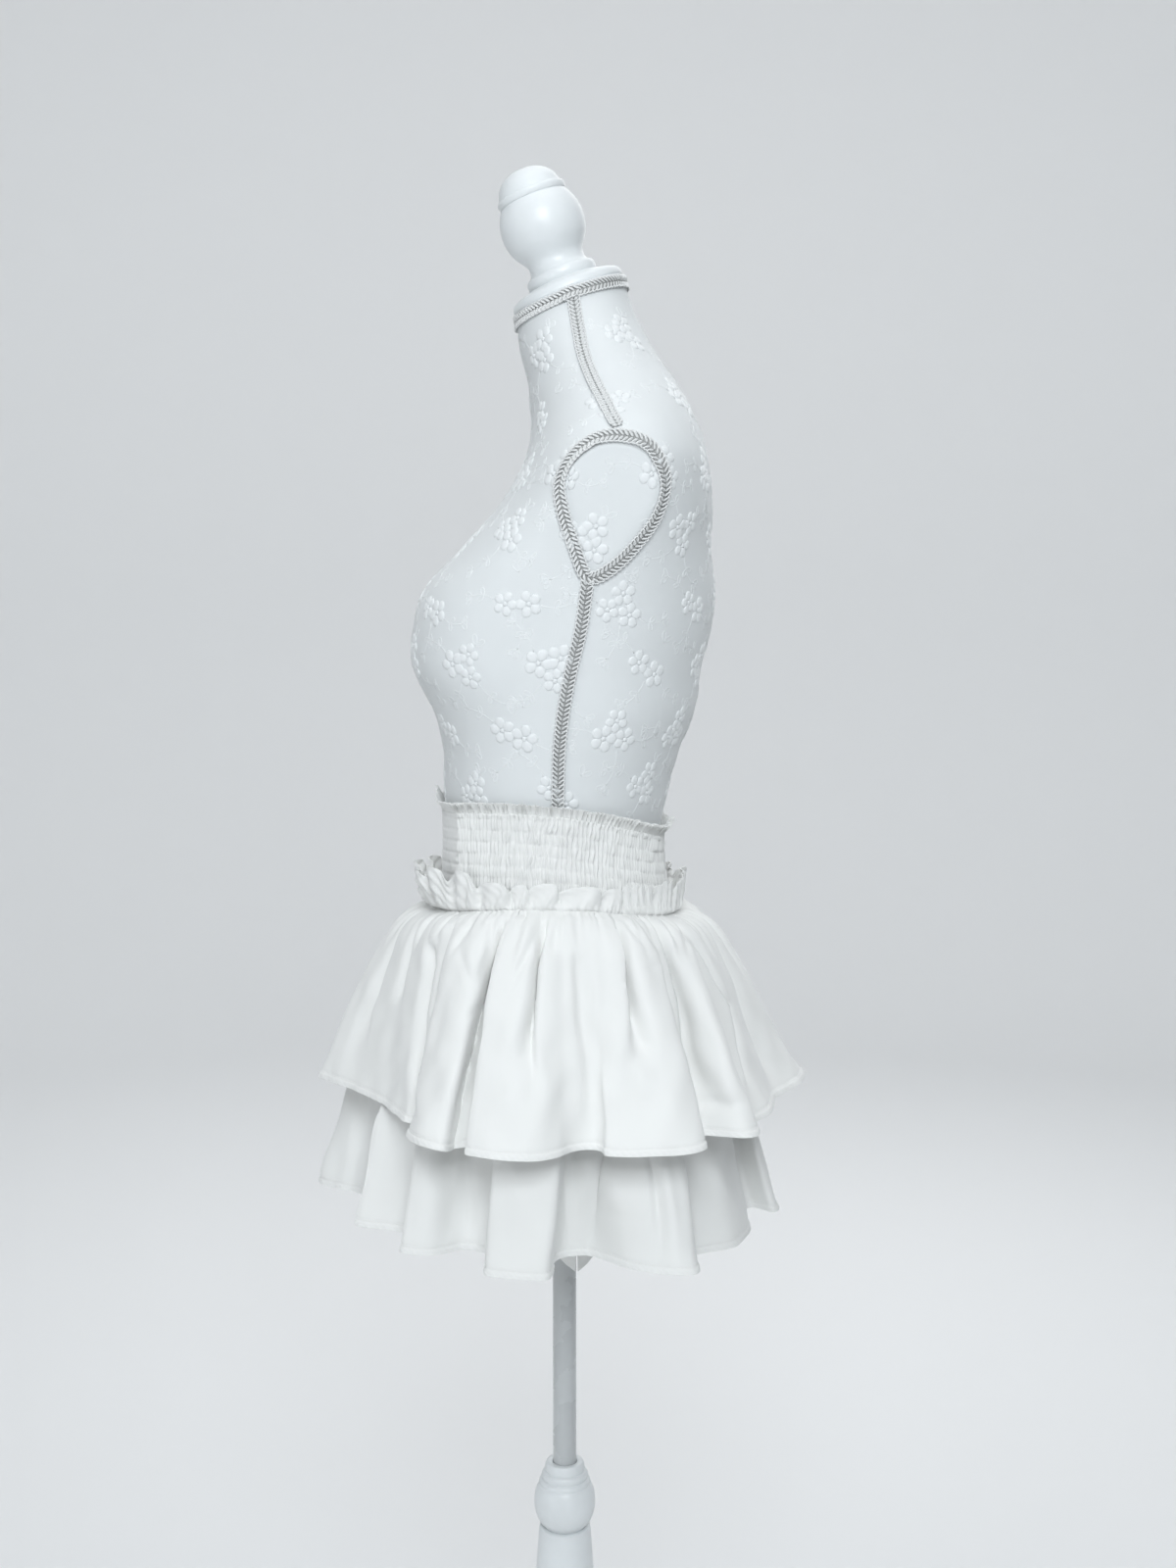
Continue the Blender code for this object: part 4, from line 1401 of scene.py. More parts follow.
@dataclass
class GimpBraid:
    """Gimp braid: two rows of curled cord on a narrow tape."""

    tape_width: float = 0.0078
    tape_rise: float = 0.0007
    cord: float = 0.00068
    pitch: float = 0.0034
    row_offset: float = 0.0026
    reach: float = 0.0020
    curl: float = 0.00130
    lean: float = 0.95
    cord_rise: float = 0.0010
    cord_bob: float = 0.00055
    spacing: float = 0.0017
    steps: int = 10

    def frames(self, ground: Ground, path: Array, closed: bool) -> tuple[Array, Array, Array]:
        """Places, normals and sideways directions along a path on the form.

        Args:
            ground: The form's surface.
            path: The path.
            closed: True if it joins up.

        Returns:
            Places, normals and directions, one a row.
        """
        places, normals = ground.drop(path)
        for _ in range(3):
            if closed:
                normals = unit(normals + np.roll(normals, 1, 0) + np.roll(normals, -1, 0))
            else:
                wide = np.vstack([normals[:1], normals, normals[-1:]])
                normals = unit(wide[:-2] + wide[1:-1] + wide[2:])
        return places, normals, unit(np.cross(normals, unit(travel(places, closed))))

    def build(
        self, name: str, node: str, ground: Ground, path: Array, closed: bool,
        cord: Material, tape: Material, lifts: Array | None = None,
    ) -> Item:
        """Make one length of braid along a path and dress it.

        Args:
            name: The piece's name.
            node: The solid that it stands for.
            ground: The form's surface.
            path: The braid's centre line.
            closed: True if it joins up.
            cord: Finish of the cord.
            tape: Finish of the tape, whose grey is painted shade between the curls.
            lifts: Extra height at each point of the even path, if any.

        Returns:
            The braid.
        """
        line = even_path(path, self.spacing, closed)
        places, normals, side = self.frames(ground, line, closed)
        if lifts is not None:
            at, known = (np.linspace(0, 1, len(values)) for values in (line, lifts))
            places = places + normals * np.interp(at, known, lifts)[:, None]
        length = running_length(places)
        if closed:
            length = np.append(length, length[-1] + np.linalg.norm(places[0] - places[-1]))
            places, normals, side = (
                np.vstack([a, a[:1]]) for a in (places, normals, side)
            )
        loops = max(3, round(length[-1] / self.pitch))
        turn = TAU * np.arange(loops * self.steps + (0 if closed else 1)) / self.steps
        parts = []
        for sign in (1, -1):
            across = self.row_offset + self.reach * np.cos(turn)
            at = turn / TAU * length[-1] / loops + self.curl * np.sin(turn)
            at = at - self.lean * (across - self.row_offset)
            at = at % length[-1] if closed else np.clip(at, 0, length[-1])

            def along(values: Array) -> Array:
                """Values at the cord's places along the path."""
                return np.stack([np.interp(at, length, values[:, k]) for k in range(3)], 1)

            up = unit(along(normals))
            rise = self.tape_rise + self.cord_rise + self.cord_bob * np.cos(turn + 0.9)
            centre = along(places) + up * rise[:, None] + along(side) * (sign * across)[:, None]
            parts.append(tube_parts(centre, up, self.cord, 4, closed))
        braid = join_parts(name, parts, cord, ends=0 if closed else 4)
        self.back(braid, places, normals, side, closed, tape)
        return dress(braid, Body.FIGURE, "gimp_braid", node)

    def back(
        self, braid: Item, places: Array, normals: Array, side: Array,
        closed: bool, tape: Material,
    ) -> None:
        """Add the woven tape under a braid's cords and join it to them; its grey paints the shade
        between the curls.

        Args:
            braid: The cords.
            places: The path on the form.
            normals: Outward normals along it.
            side: Sideways directions along it.
            closed: True if it joins up.
            tape: Finish of the tape, whose grey is painted shade between the curls.
        """
        if closed:
            places, normals, side = places[:-1], normals[:-1], side[:-1]
        half = self.tape_width / 2
        rows = [
            places + side * half, places + side * half * 0.9 + normals * self.tape_rise,
            places + normals * self.tape_rise * 1.2,
            places - side * half * 0.9 + normals * self.tape_rise, places - side * half,
        ]
        ring = np.stack(rows, 0)
        count = len(places)
        faces = grid_faces(5, count, closed)
        bottom = np.arange(count if closed else count - 1)
        after = (bottom + 1) % count
        under = np.stack([bottom, after, 4 * count + after, 4 * count + bottom], 1)
        every = np.vstack([faces, under]).tolist()
        if not closed:
            every.append([r * count for r in range(5)])
            every.append([r * count + count - 1 for r in range(5)][::-1])
        # The grey tape fills the gaps between the curls: painted shade.
        item = mesh_piece(braid.name + "_tape", ring.reshape(-1, 3), every, tape)
        item.data.uv_layers.new(name="Flat")
        face_outwards(item)
        select_only(braid)
        item.select_set(True)
        bpy.ops.object.join()


ARMHOLE = (
    (0.0430, 1.3050), (0.0630, 1.2970), (0.0725, 1.2725), (0.0665, 1.2505), (0.0525, 1.2310),
    (0.0350, 1.2140), (0.0190, 1.2080), (0.0095, 1.2287), (0.0012, 1.2550), (0.0005, 1.2750),
    (0.0085, 1.2905), (0.0245, 1.3025),
)
SIDE_SEAM = (
    (0.0186, 1.2062), (0.0178, 1.1990), (0.0136, 1.1700), (0.0064, 1.1400), (0.0012, 1.1100),
    (-0.0020, 1.0800), (-0.0030, 1.0460), (-0.0032, 1.0360),
)
SHOULDER = (
    (0.0500, 0.0078), (0.0540, 0.0092), (0.0750, 0.0150), (0.1000, 0.0222), (0.1250, 0.0300),
    (0.1430, 0.0360), (0.1505, 0.0395),
)


@dataclass
class FormTrims:
    """All the braid on the form."""

    neck_height: float = 1.4168
    neck_radius: float = 0.046
    neck_start: float = -0.12
    overlap: float = 0.012
    overlap_rise: float = 0.0022
    braid: GimpBraid = field(default_factory=GimpBraid)

    def build(self, ground: Ground) -> None:
        """Lay the braid round the neck and armholes, along shoulders and side seams.

        Args:
            ground: The form's surface.
        """
        finishes = BRAID_CORD.material(), BRAID_SHADE_TAPE.material()
        angles = np.linspace(0, TAU + self.overlap / self.neck_radius, 300) + self.neck_start
        ring = FORM.points(angles, np.full_like(angles, self.neck_height))
        rise = np.interp(angles, [angles[0], TAU - 0.2, TAU - 0.05, angles[-1]], [0, 0, 1, 1])
        self.braid.build(
            "neck_gimp", "neck_braid", ground, ring, False, *finishes, rise * self.overlap_rise
        )
        for side in Side:
            sign, word = side.value, side.name.lower()
            lines = {
                "armhole": [ground.shoot((sign * 0.4, y, z), (-sign, 0, 0)) for y, z in ARMHOLE],
                "side": [ground.shoot((sign * 0.4, y, z), (-sign, 0, 0)) for y, z in SIDE_SEAM],
                "shoulder": [ground.shoot((sign * x, y, 1.6), (0, 0, -1)) for x, y in SHOULDER],
            }
            for kind, line in lines.items():
                closed = kind == "armhole"
                self.braid.build(
                    f"{kind}_gimp_{word}", f"{kind}_braid_{word}", ground,
                    spline(np.array(line), 8, closed), closed, *finishes,
                )


# ------------------------------------------------------------- turned pieces
class TurnPoint(NamedTuple):
    """A point of a turned profile. The curve breaks at a corner."""

    radius: float
    height: float
    corner: bool = False


@dataclass
class TurnedPiece:
    """A piece turned on a lathe, from a profile that runs up its outer side."""

    name: str
    node: str
    body: Body
    slot: str
    profile: tuple[TurnPoint, ...]
    segments: int = 80
    per_span: int = 4
    ring: bool = False
    tilt_deg: float = 0.0
    place: tuple[float, float, float] = (0.0, 0.0, 0.0)
    edge: float = 0.0004

    def outline(self) -> Array:
        """Dense profile, curved between its corners.

        Returns:
            Radius and height of each point.
        """
        runs: list[Array] = []
        start = 0
        for i, point in enumerate(self.profile):
            if i and (point.corner or i == len(self.profile) - 1):
                run = np.array([p[:2] for p in self.profile[start:i + 1]])
                runs.append(spline(run, self.per_span) if len(run) > 2 else run)
                start = i
        line = [runs[0][0]]
        for run in runs:
            line.extend(run[1:])
        return np.array(line)

    def build(self, finish: Material) -> Item:
        """Turn the piece ring by ring, soften its edges and dress it.

        Args:
            finish: Its material.

        Returns:
            The piece.
        """
        line = self.outline()
        select_only(None)
        bpy.ops.mesh.primitive_circle_add(
            vertices=self.segments, radius=line[0][0],
            fill_type="NOTHING" if self.ring else "NGON", location=(0, 0, line[0][1]),
        )
        item = bpy.context.object
        item.name = self.name
        item.data.name = self.name
        bpy.ops.object.transform_apply(location=True, rotation=True, scale=True)
        bpy.ops.object.mode_set(mode="EDIT")
        bpy.ops.mesh.select_all(action="SELECT")
        steps = list(zip(line, line[1:]))
        if self.ring:
            steps.append((line[-1], line[0]))
        for now, following in steps:
            extrude_ring(now, following)
        face_outwards(item, merge=0.00001)
        if self.edge:
            apply_modifier(
                item, "BEVEL", width=self.edge, segments=2, limit_method="ANGLE",
                angle_limit=math.radians(40),
            )
        item.location = self.place
        item.rotation_euler = (math.radians(self.tilt_deg), 0, 0)
        select_only(item)
        bpy.ops.object.transform_apply(location=True, rotation=True, scale=True)
        bpy.ops.object.shade_smooth_by_angle(angle=math.radians(35))
        item.data.materials.clear()
        item.data.materials.append(finish)
        return dress(item, self.body, self.slot, self.node)


def turn(*points: tuple[float, ...]) -> tuple[TurnPoint, ...]:
    """Profile from pairs, or triples whose third value marks a corner."""
    return tuple(TurnPoint(p[0], p[1], len(p) > 2) for p in points)


TIP = 0.0004
CAP_TILT_DEG = 21.0
CAP_PLACE = (0.0, 0.0046, 1.4228)
CAP_PROFILE = turn(
    (0.0405, 0.0000, 1), (0.0434, 0.0003, 1), (0.0442, 0.0014), (0.0443, 0.0028), (0.0437, 0.0053),
    (0.0420, 0.0072), (0.0395, 0.0082, 1), (0.0385, 0.0086), (0.0352, 0.0093), (0.0315, 0.0106),
    (0.0292, 0.0115, 1), (0.0150, 0.0115, 1), (TIP, 0.0115, 1),
)
FINIAL_PROFILE = turn(
    (0.0200, 0.0118, 1), (0.0262, 0.0118, 1), (0.0272, 0.0138), (0.0275, 0.0160), (0.0271, 0.0184),
    (0.0258, 0.0202), (0.0242, 0.0208, 1), (0.0228, 0.0226), (0.0218, 0.0262), (0.0220, 0.0296),
    (0.0234, 0.0328), (0.0266, 0.0372), (0.0298, 0.0424), (0.0319, 0.0494), (0.0326, 0.0562),
    (0.0320, 0.0632), (0.0301, 0.0698), (0.0276, 0.0748), (0.0258, 0.0773, 1), (0.0266, 0.0779),
    (0.0271, 0.0796), (0.0272, 0.0812), (0.0266, 0.0826), (0.0250, 0.0834, 1), (0.0247, 0.0846),
    (0.0240, 0.0872), (0.0224, 0.0908), (0.0197, 0.0943), (0.0160, 0.0973), (0.0114, 0.0996),
    (0.0060, 0.1008), (TIP, 0.1011, 1),
)
POLE_PROFILE = turn(
    (0.0085, 0.160, 1), (0.0095, 0.161, 1), (0.0095, 0.300, 1), (0.0095, 0.450, 1),
    (0.0095, 0.600, 1), (0.0095, 0.750, 1), (0.0095, 0.944, 1), (0.0085, 0.945, 1),
)
COLLAR_PROFILE = turn(
    (0.0101, 0.4358, 1), (0.0165, 0.4358, 1), (0.0176, 0.4372), (0.0208, 0.4410), (0.0233, 0.4465),
    (0.0247, 0.4530), (0.0249, 0.4590), (0.0240, 0.4655), (0.0222, 0.4702), (0.0206, 0.4722, 1),
    (0.0209, 0.4734), (0.0207, 0.4750), (0.0200, 0.4760, 1), (0.0184, 0.4766, 1), (0.0189, 0.4784),
    (0.0187, 0.4806), (0.0178, 0.4822, 1), (0.0160, 0.4830, 1), (0.0163, 0.4850), (0.0159, 0.4880),
    (0.0151, 0.4900), (0.0143, 0.4906, 1), (0.0101, 0.4906, 1),
)
COLUMN_PROFILE = turn(
    (0.0101, 0.0203, 1), (0.0450, 0.0203, 1), (0.0454, 0.0240), (0.0450, 0.0280), (0.0436, 0.0312),
    (0.0415, 0.0326, 1), (0.0398, 0.0350), (0.0352, 0.0392), (0.0300, 0.0460), (0.0262, 0.0552),
    (0.0244, 0.0660, 1), (0.0252, 0.0676), (0.0255, 0.0700), (0.0250, 0.0722), (0.0240, 0.0732, 1),
    (0.0233, 0.0900), (0.0234, 0.1200), (0.0243, 0.1650), (0.0258, 0.2100), (0.0270, 0.2500),
    (0.0278, 0.3000), (0.0264, 0.3450), (0.0236, 0.3960), (0.0213, 0.4310), (0.0207, 0.4345, 1),
    (0.0198, 0.4355, 1), (0.0101, 0.4355, 1),
)
BASE_PROFILE = turn(
    (0.1690, 0.0000, 1), (0.1726, 0.0000, 1), (0.1742, 0.0010), (0.1750, 0.0032), (0.1750, 0.0100),
    (0.1743, 0.0130), (0.1724, 0.0148, 1), (0.1700, 0.0152, 1), (0.1694, 0.0168), (0.1672, 0.0184),
    (0.1630, 0.0192), (0.1400, 0.0196), (0.1000, 0.0199), (0.0500, 0.0200), (TIP, 0.0200, 1),
)
SOCKET_PROFILE = turn(
    (0.0101, 0.8107, 1), (0.0345, 0.8107, 1), (0.0350, 0.8114, 1), (0.0350, 0.8140, 1),
    (0.0340, 0.8147, 1), (0.0140, 0.8147, 1), (0.0140, 0.8800, 1), (0.0140, 0.9520, 1),
    (0.0101, 0.9520, 1),
)


@dataclass
class TurnedSet:
    """Cap, finial, socket and the stand."""

    paint: SatinPaint = field(default_factory=SatinPaint)
    # The pole's grey is partly the steel's own grey and partly painted shade.
    pole_paint: SatinPaint = field(default_factory=lambda: SatinPaint(
        "pole_paint", (0.560, 0.578, 0.584), (0.520, 0.538, 0.545), 0.26, 0.00004, 0.6
    ))

    def pieces(self) -> list[tuple[TurnedPiece, SatinPaint]]:
        """All turned pieces, each with its paint.

        Returns:
            Pieces and paints in pairs.
        """
        lean = {"tilt_deg": CAP_TILT_DEG, "place": CAP_PLACE}
        wood, steel = "white_paint", "white_pole"
        return [
            (TurnedPiece("turned_cap", "neck_cap", Body.FIGURE, wood, CAP_PROFILE, 112, **lean),
             self.paint),
            (TurnedPiece("turned_finial", "finial", Body.FIGURE, wood, FINIAL_PROFILE, 96, **lean),
             self.paint),
            (TurnedPiece("pole_socket", "socket", Body.FIGURE, steel, SOCKET_PROFILE, 64, 1, True),
             self.pole_paint),
            (TurnedPiece("steel_pole", "pole", Body.MAST, steel, POLE_PROFILE, 64, 1),
             self.pole_paint),
            (TurnedPiece(
                "turned_collar", "ball_collar", Body.STAND, wood, COLLAR_PROFILE, 80, 4, True),
             self.paint),
            (TurnedPiece(
                "turned_column", "column", Body.STAND, wood, COLUMN_PROFILE, 80, 4, True),
             self.paint),
            (TurnedPiece("round_base", "base", Body.STAND, wood, BASE_PROFILE, 160, 3),
             self.paint),
        ]

    def build(self) -> None:
        """Turn and dress every piece."""
        finishes = {id(p): p.material() for p in (self.paint, self.pole_paint)}
        for piece, paint in self.pieces():
            piece.build(finishes[id(paint)])


# -------------------------------------------------------------------- skort
@dataclass
class SmockedBand:
    """Smocked side and back part of the waistband, with its rows of elastic."""

    start_deg: float = -52.5
    end_deg: float = 232.5
    pleats: int = 134
    steps: int = 7
    elastic_rows: int = 7
    first_row: float = 0.004
    row_gap: float = 0.0088
    out: float = 0.0017
    puff: float = 0.0033
    thickness: float = 0.0010
    seed: int = 7

    def pattern(self, place: Array, fall: Array) -> Array:
        """Height of the gathered cloth.

        Args:
            place: Place along the band, in pleats.
            fall: Distance below the band's top.

        Returns:
            Height from 0 to about 1.
        """
        dice = np.random.default_rng(self.seed)
        levels = self.elastic_rows + 2
        jitter = dice.uniform(-0.36, 0.36, (levels, self.pleats + 1))
        jitter[-1] = jitter[-2] * 0.4
        swell = dice.uniform(0.65, 1.25, (levels, self.pleats + 1))
        level = np.clip((fall - self.first_row) / self.row_gap + 1, 0, levels - 1.001)
        row = np.floor(level).astype(int)
        share = level - row
        nodes = np.arange(self.pleats + 1)
        slide = np.zeros_like(place)
        size = np.ones_like(place)
        for r in range(levels):
            here = np.interp(place, nodes, jitter[r])
            following = np.interp(place, nodes, jitter[min(r + 1, levels - 1)])
            blend = smooth_step(share)
            slide = np.where(row == r, here * (1 - blend) + following * blend, slide)
            size = np.where(row == r, np.interp(place, nodes, swell[r]), size)
        wave = np.abs(np.sin(np.pi * (place + slide))) ** 0.72
        last = row >= self.elastic_rows
        between = np.where(last, 0.90 + 0.10 * np.sin(np.pi * np.minimum(share, 0.5)),
                           0.84 + 0.16 * np.sin(np.pi * share) ** 0.8)
        return wave * between * size

    def build(self, satin: Material) -> Item:
        """Make and dress the smocked band.

        Args:
            satin: The skort's material.

        Returns:
            The piece.
        """
        columns = self.pleats * self.steps + 1
        place = np.linspace(0, self.pleats, columns)
        angles = np.radians(self.start_deg + (self.end_deg - self.start_deg) * place / self.pleats)
        falls = [0.0]
        for r in range(self.elastic_rows):
            at = self.first_row + r * self.row_gap
            falls += [at - 0.0010, at, at + 0.0010, at + 0.0026, at + 0.0044, at + 0.0062]
        top, foot = BAND_TOP.at(angles), WAIST_SEAM.at(angles)
        length = top - foot
        fixed = np.array([0.0, 0.0015] + falls[1:])
        share = np.minimum(fixed[:, None] / length[None, :], 1.0)
        rest = fixed[-1] / length
        for k in (0.25, 0.5, 0.75, 1.0):
            share = np.vstack([share, rest + (1 - rest) * k])
        heights = top[None, :] - share * length[None, :]
        fall = share * length[None, :]
        rise = self.pattern(np.broadcast_to(place, share.shape), fall)
        elastic = self.first_row + self.row_gap * np.arange(self.elastic_rows)
        nearest = np.abs(fall[None] - elastic[:, None, None]).min(0)
        pinch = 0.00012 * bell(nearest, 0.0007)
        hidden = smooth_step((share - 0.93) / 0.06)
        height = rise * self.puff * (1 - 0.5 * hidden) - pinch
        base = FORM.points(angles[None, :], heights, self.out)
        outer = base + grid_normals(base, False) * height[..., None]
        inner_share = np.linspace(0, 1, 4)[:, None]
        inner = FORM.points(
            angles[None, :], top - inner_share * length, self.out - self.thickness
        )
        across = place / self.pleats * 0.92
        down = 0.074 - np.append(fixed, [0.060, 0.065, 0.070, 0.074]) + 0.05
        item = lined_piece("smocked_band", outer, inner, False, satin, across, down)
        return dress(item, Body.FIGURE, "skort_cloth", "waistband_back")


@dataclass
class FrontPanel:
    """Flat, faced front of the waistband, stitched across and puckered at its seams."""

    start_deg: float = -127.5
    end_deg: float = -52.5
    columns: int = 150
    rows: int = 72
    lines: int = 7
    first_line: float = 0.004
    line_gap: float = 0.0088
    waves_at_seam: int = 5
    waves_on_lines: int = 4
    out: float = 0.0026
    thickness: float = 0.0012
    seed: int = 19

    def build(self, satin: Material) -> Item:
        """Make and dress the panel.

        Args:
            satin: The skort's material.

        Returns:
            The piece.
        """
        dice = np.random.default_rng(self.seed)
        share = np.linspace(0, 1, self.columns)
        angles = np.radians(self.start_deg + (self.end_deg - self.start_deg) * share)
        down = np.linspace(0, 1, self.rows)[:, None]
        top, foot = BAND_TOP.at(angles), WAIST_SEAM.at(angles)
        heights = top - (top - foot) * down
        fall = top - heights
        base = FORM.points(angles[None, :], heights, self.out)
        level = (fall - self.first_line) / self.line_gap
        near = np.abs(level - np.round(level)) * self.line_gap
        on_lines = (level > -0.5) & (level < self.lines - 0.5)
        height = np.where(on_lines, 0.0006 * (1 - bell(near, 0.0011)), 0.0004)
        wide = share * 0.13
        edge = np.minimum(share, 1 - share)
        seam = np.exp(-edge / 0.030)
        pucker = np.zeros_like(fall)
        for _ in range(self.waves_at_seam):
            pitch, phase = dice.uniform(0.004, 0.009), dice.uniform(0, TAU)
            slant = dice.uniform(-0.5, 0.5)
            pucker += np.sin(TAU * (fall + slant * wide) / pitch + phase)
        height += 0.00022 * pucker * seam
        fine = np.zeros_like(fall)
        for _ in range(self.waves_on_lines):
            pitch, phase = dice.uniform(0.006, 0.014), dice.uniform(0, TAU)
            fine += np.sin(TAU * wide / pitch + phase + 3 * np.sin(level + phase))
        height += 0.00010 * fine * bell(near, 0.0020)
        height -= 0.0012 * bell(edge, 0.010)
        bow = np.sin(np.pi * np.clip(share, 0, 1)) ** 0.5
        height += 0.0006 * bow
        outer = base + grid_normals(base, False) * height[..., None]
        inner = FORM.points(
            angles[None, :], top - (top - foot) * np.linspace(0, 1, 6)[:, None],
            self.out - self.thickness,
        )
        item = lined_piece(
            "front_panel", outer, inner, False, satin, wide, 0.20 - 0.075 * down[:, 0]
        )
        return dress(item, Body.FIGURE, "skort_cloth", "waistband_front")


@dataclass
class TopFrill:
    """Short gathered header above the top row of elastic."""

    flutes: int = 168
    steps: int = 8
    height: float = 0.0086
    out: float = 0.0027
    lean: Belt = Belt(0.0030, 0.0046, 0.0046)
    depth: float = 0.0023
    thickness: float = 0.0006
    rows: int = 9
    seed: int = 23

    def build(self, satin: Material) -> Item:
        """Make and dress the frill.

        Args:
            satin: The skort's material.

        Returns:
            The piece.
        """
        dice = np.random.default_rng(self.seed)
        columns = self.flutes * self.steps
        place = np.arange(columns) / self.steps
        nodes = np.arange(self.flutes + 1)

        def ragged(low: float, high: float) -> Array:
            """Random value of each flute, blended between them.

            Args:
                low: Least value.
                high: Greatest value.

            Returns:
                Value at each column.
            """
            values = dice.uniform(low, high, self.flutes + 1)
            values[-1] = values[0]
            return np.interp(place, nodes, values)

        slide, size = ragged(-0.3, 0.3), ragged(0.55, 1.35)
        rim, tip = ragged(-0.0007, 0.0009), ragged(-0.0010, 0.0014)
        angles = np.radians(-90 + 360 * place / self.flutes)
        off_front = np.abs(np.degrees(angles) + 90 - 360 * (angles > np.pi / 2))
        panel = smooth_step(off_front / 8 - 3.8)
        level = np.linspace(1, 0, self.rows)[:, None]
        phase = TAU * (place + slide)
        wave = np.sin(phase)
        swing = 0.35 * np.sin(2 * phase)
        strength = self.depth * size * (0.35 + 0.65 * panel)
        out = (
            self.out + self.lean.at(angles) * level**1.6 + strength * wave * (0.25 + 0.75 * level)
            + tip * level**2 + 0.0006 * bell(level, 0.25) * wave
        )
        heights = BAND_TOP.at(angles) - 0.0012 + (self.height + rim) * level
        round_deg = heading_gap(np.degrees(angles), 0)
        tip_rise = 0.0085 * bell(round_deg + 92, 3.2)
        tip_rise = tip_rise + 0.0040 * bell(round_deg - 88, 4.0)
        heights = heights + tip_rise * level**1.3
        turned = angles + swing * level * strength / 0.11
        points = FORM.points(turned, heights, out)
        across = np.arange(columns + 1) / columns * 1.18
        item = cloth_piece(
            "top_frill", points, True, self.thickness, satin, across, 0.03 + 0.009 * level[:, 0]
        )
        return dress(item, Body.FIGURE, "skort_cloth", "waistband_frill")


@dataclass
class HeadingRuffle:
    """Gathered heading of the skirt, folded in lobes over the foot of the band."""

    edges_deg: tuple[float, ...] = (
        -102, -84, -67, -51, -34, -17.5, -8.5, 2.5, 21.5, 32.5, 37.5, 42, 47, 52, 57.5, 63,
        69, 75, 81, 88, 95,
    )
    lean: tuple[float, ...] = (
        -0.28, 0.34, -0.20, 0.30, 0.34, 0.30, 0.38, 0.30, 0.30, 0.20, 0.20, -0.1, -0.2, 0.2,
        0.2, -0.1, -0.2, 0.2, 0.1, -0.2,
    )
    last_deg: float = 258.0
    last_lean: float = 0.2
    rise: Belt = Belt(0.0195, 0.0310, 0.0265)
    flare: Belt = Belt(0.0066, 0.0225, 0.0150)
    base_flare: Belt = Belt(0.0004, 0.0060, 0.0075)
    foot_out: float = 0.0046
    tuck: float = 0.0030
    steps: int = 22
    rows: int = 18
    thickness: float = 0.0007
    seed: int = 31

    def lobes(self, dice: np.random.Generator) -> tuple[list[float], list[float]]:
        """Edges and leans of all lobes, the hidden ones drawn by chance.

        Args:
            dice: Source of the hidden ones.

        Returns:
            Edges and leans.
        """
        edges, leans = list(self.edges_deg), list(self.lean)
        while edges[-1] < self.last_deg - 15:
            edges.append(edges[-1] + dice.uniform(7, 15))
            leans.append(dice.uniform(0.0, 0.36))
        edges.append(self.last_deg)
        leans.append(self.last_lean)
        return edges, leans

    def build(self, satin: Material) -> Item:
        """Make and dress the ruffle.

        Args:
            satin: The skort's material.

        Returns:
            The piece.
        """
        dice = np.random.default_rng(self.seed)
        edges, leans = self.lobes(dice)
        level = np.append(np.linspace(1, 0, self.rows), -self.tuck / 0.02)[:, None]
        up = np.maximum(level, 0.0)
        blocks = []
        across = [0.0]
        for n, (start, end) in enumerate(zip(edges, edges[1:])):
            share = (np.arange(self.steps) / self.steps)[None, :]
            width = math.radians(end - start)
            wide = min(1.0, (end - start) / 12)
            skew = share ** (1.22 if leans[n] > 0 else 0.82)
            mound = 0.26 + 0.74 * np.sin(np.pi * skew) ** 0.90
            size = dice.uniform(0.85, 1.15) * (0.30 + 0.70 * wide)
            angle = math.radians(start) + width * share
            open_up = smooth_step(up * 1.3)
            turned = angle + width * leans[n] * (mound - 0.26) * open_up
            far = np.abs(np.sin(angle)) ** (4 if (start + end) % 360 < 180 else 2.4)
            flare, base = self.flare.toward(angle, far), self.base_flare.toward(angle, far)
            dent = 1 - 0.42 * wide * bell(share - dice.uniform(0.36, 0.60), 0.10) * (1 - 0.6 * up)
            power = 0.42 - 0.10 * far
            out = self.foot_out + flare * size * mound * dent * up**power * (1 - 0.26 * up**2)
            out = out + base * up**1.1
            out = out + 0.0012 * np.sin(TAU * share * (2 + 4 * wide) + n) * bell(up - 0.10, 0.22)
            crumple = np.sin(TAU * (3 * share + 1.4 * up) + 2 * n)
            crumple = crumple * np.sin(TAU * (1.7 * up + share) + n)
            out = out + (0.0005 + 0.0032 * far * wide) * wide * crumple * smooth_step(up / 0.25)
            out = out - 0.0030 * np.sin(np.pi * np.minimum(up * 1.15, 1)) * (1 - mound)
            droop = 0.12 * smooth_step((share - 0.60) / 0.40) * wide
            arc = 0.64 + 0.38 * np.sin(np.pi * np.clip(share, 0, 1)) ** 0.6 - droop
            arc = arc + 0.10 * (1 - wide) + dice.uniform(-0.06, 0.06)
            bunch = bell(np.degrees(angle) + 50, 17)
            tall = self.rise.at(angle) * arc * (1 + 0.30 * bunch)
            heights = WAIST_SEAM.at(angle) - 0.0004 + tall * level - 0.0020 * up**3 * mound
            blocks.append(FORM.points(turned, heights, out))
            across.extend(across[-1] + np.arange(1, self.steps + 1) * (width * 0.19 / self.steps))
        points = np.concatenate(blocks, 1)
        points = (np.roll(points, 1, 1) + 2 * points + np.roll(points, -1, 1)) / 4
        item = cloth_piece(
            "heading_frill", points, True, self.thickness, satin, np.array(across),
            0.03 + 0.022 * level[:, 0],
        )
        return dress(item, Body.FIGURE, "skort_cloth", "heading_ruffle")


class HemPoint(NamedTuple):
    """Place of a hem, seen from above."""

    angle_deg: float
    radius: float


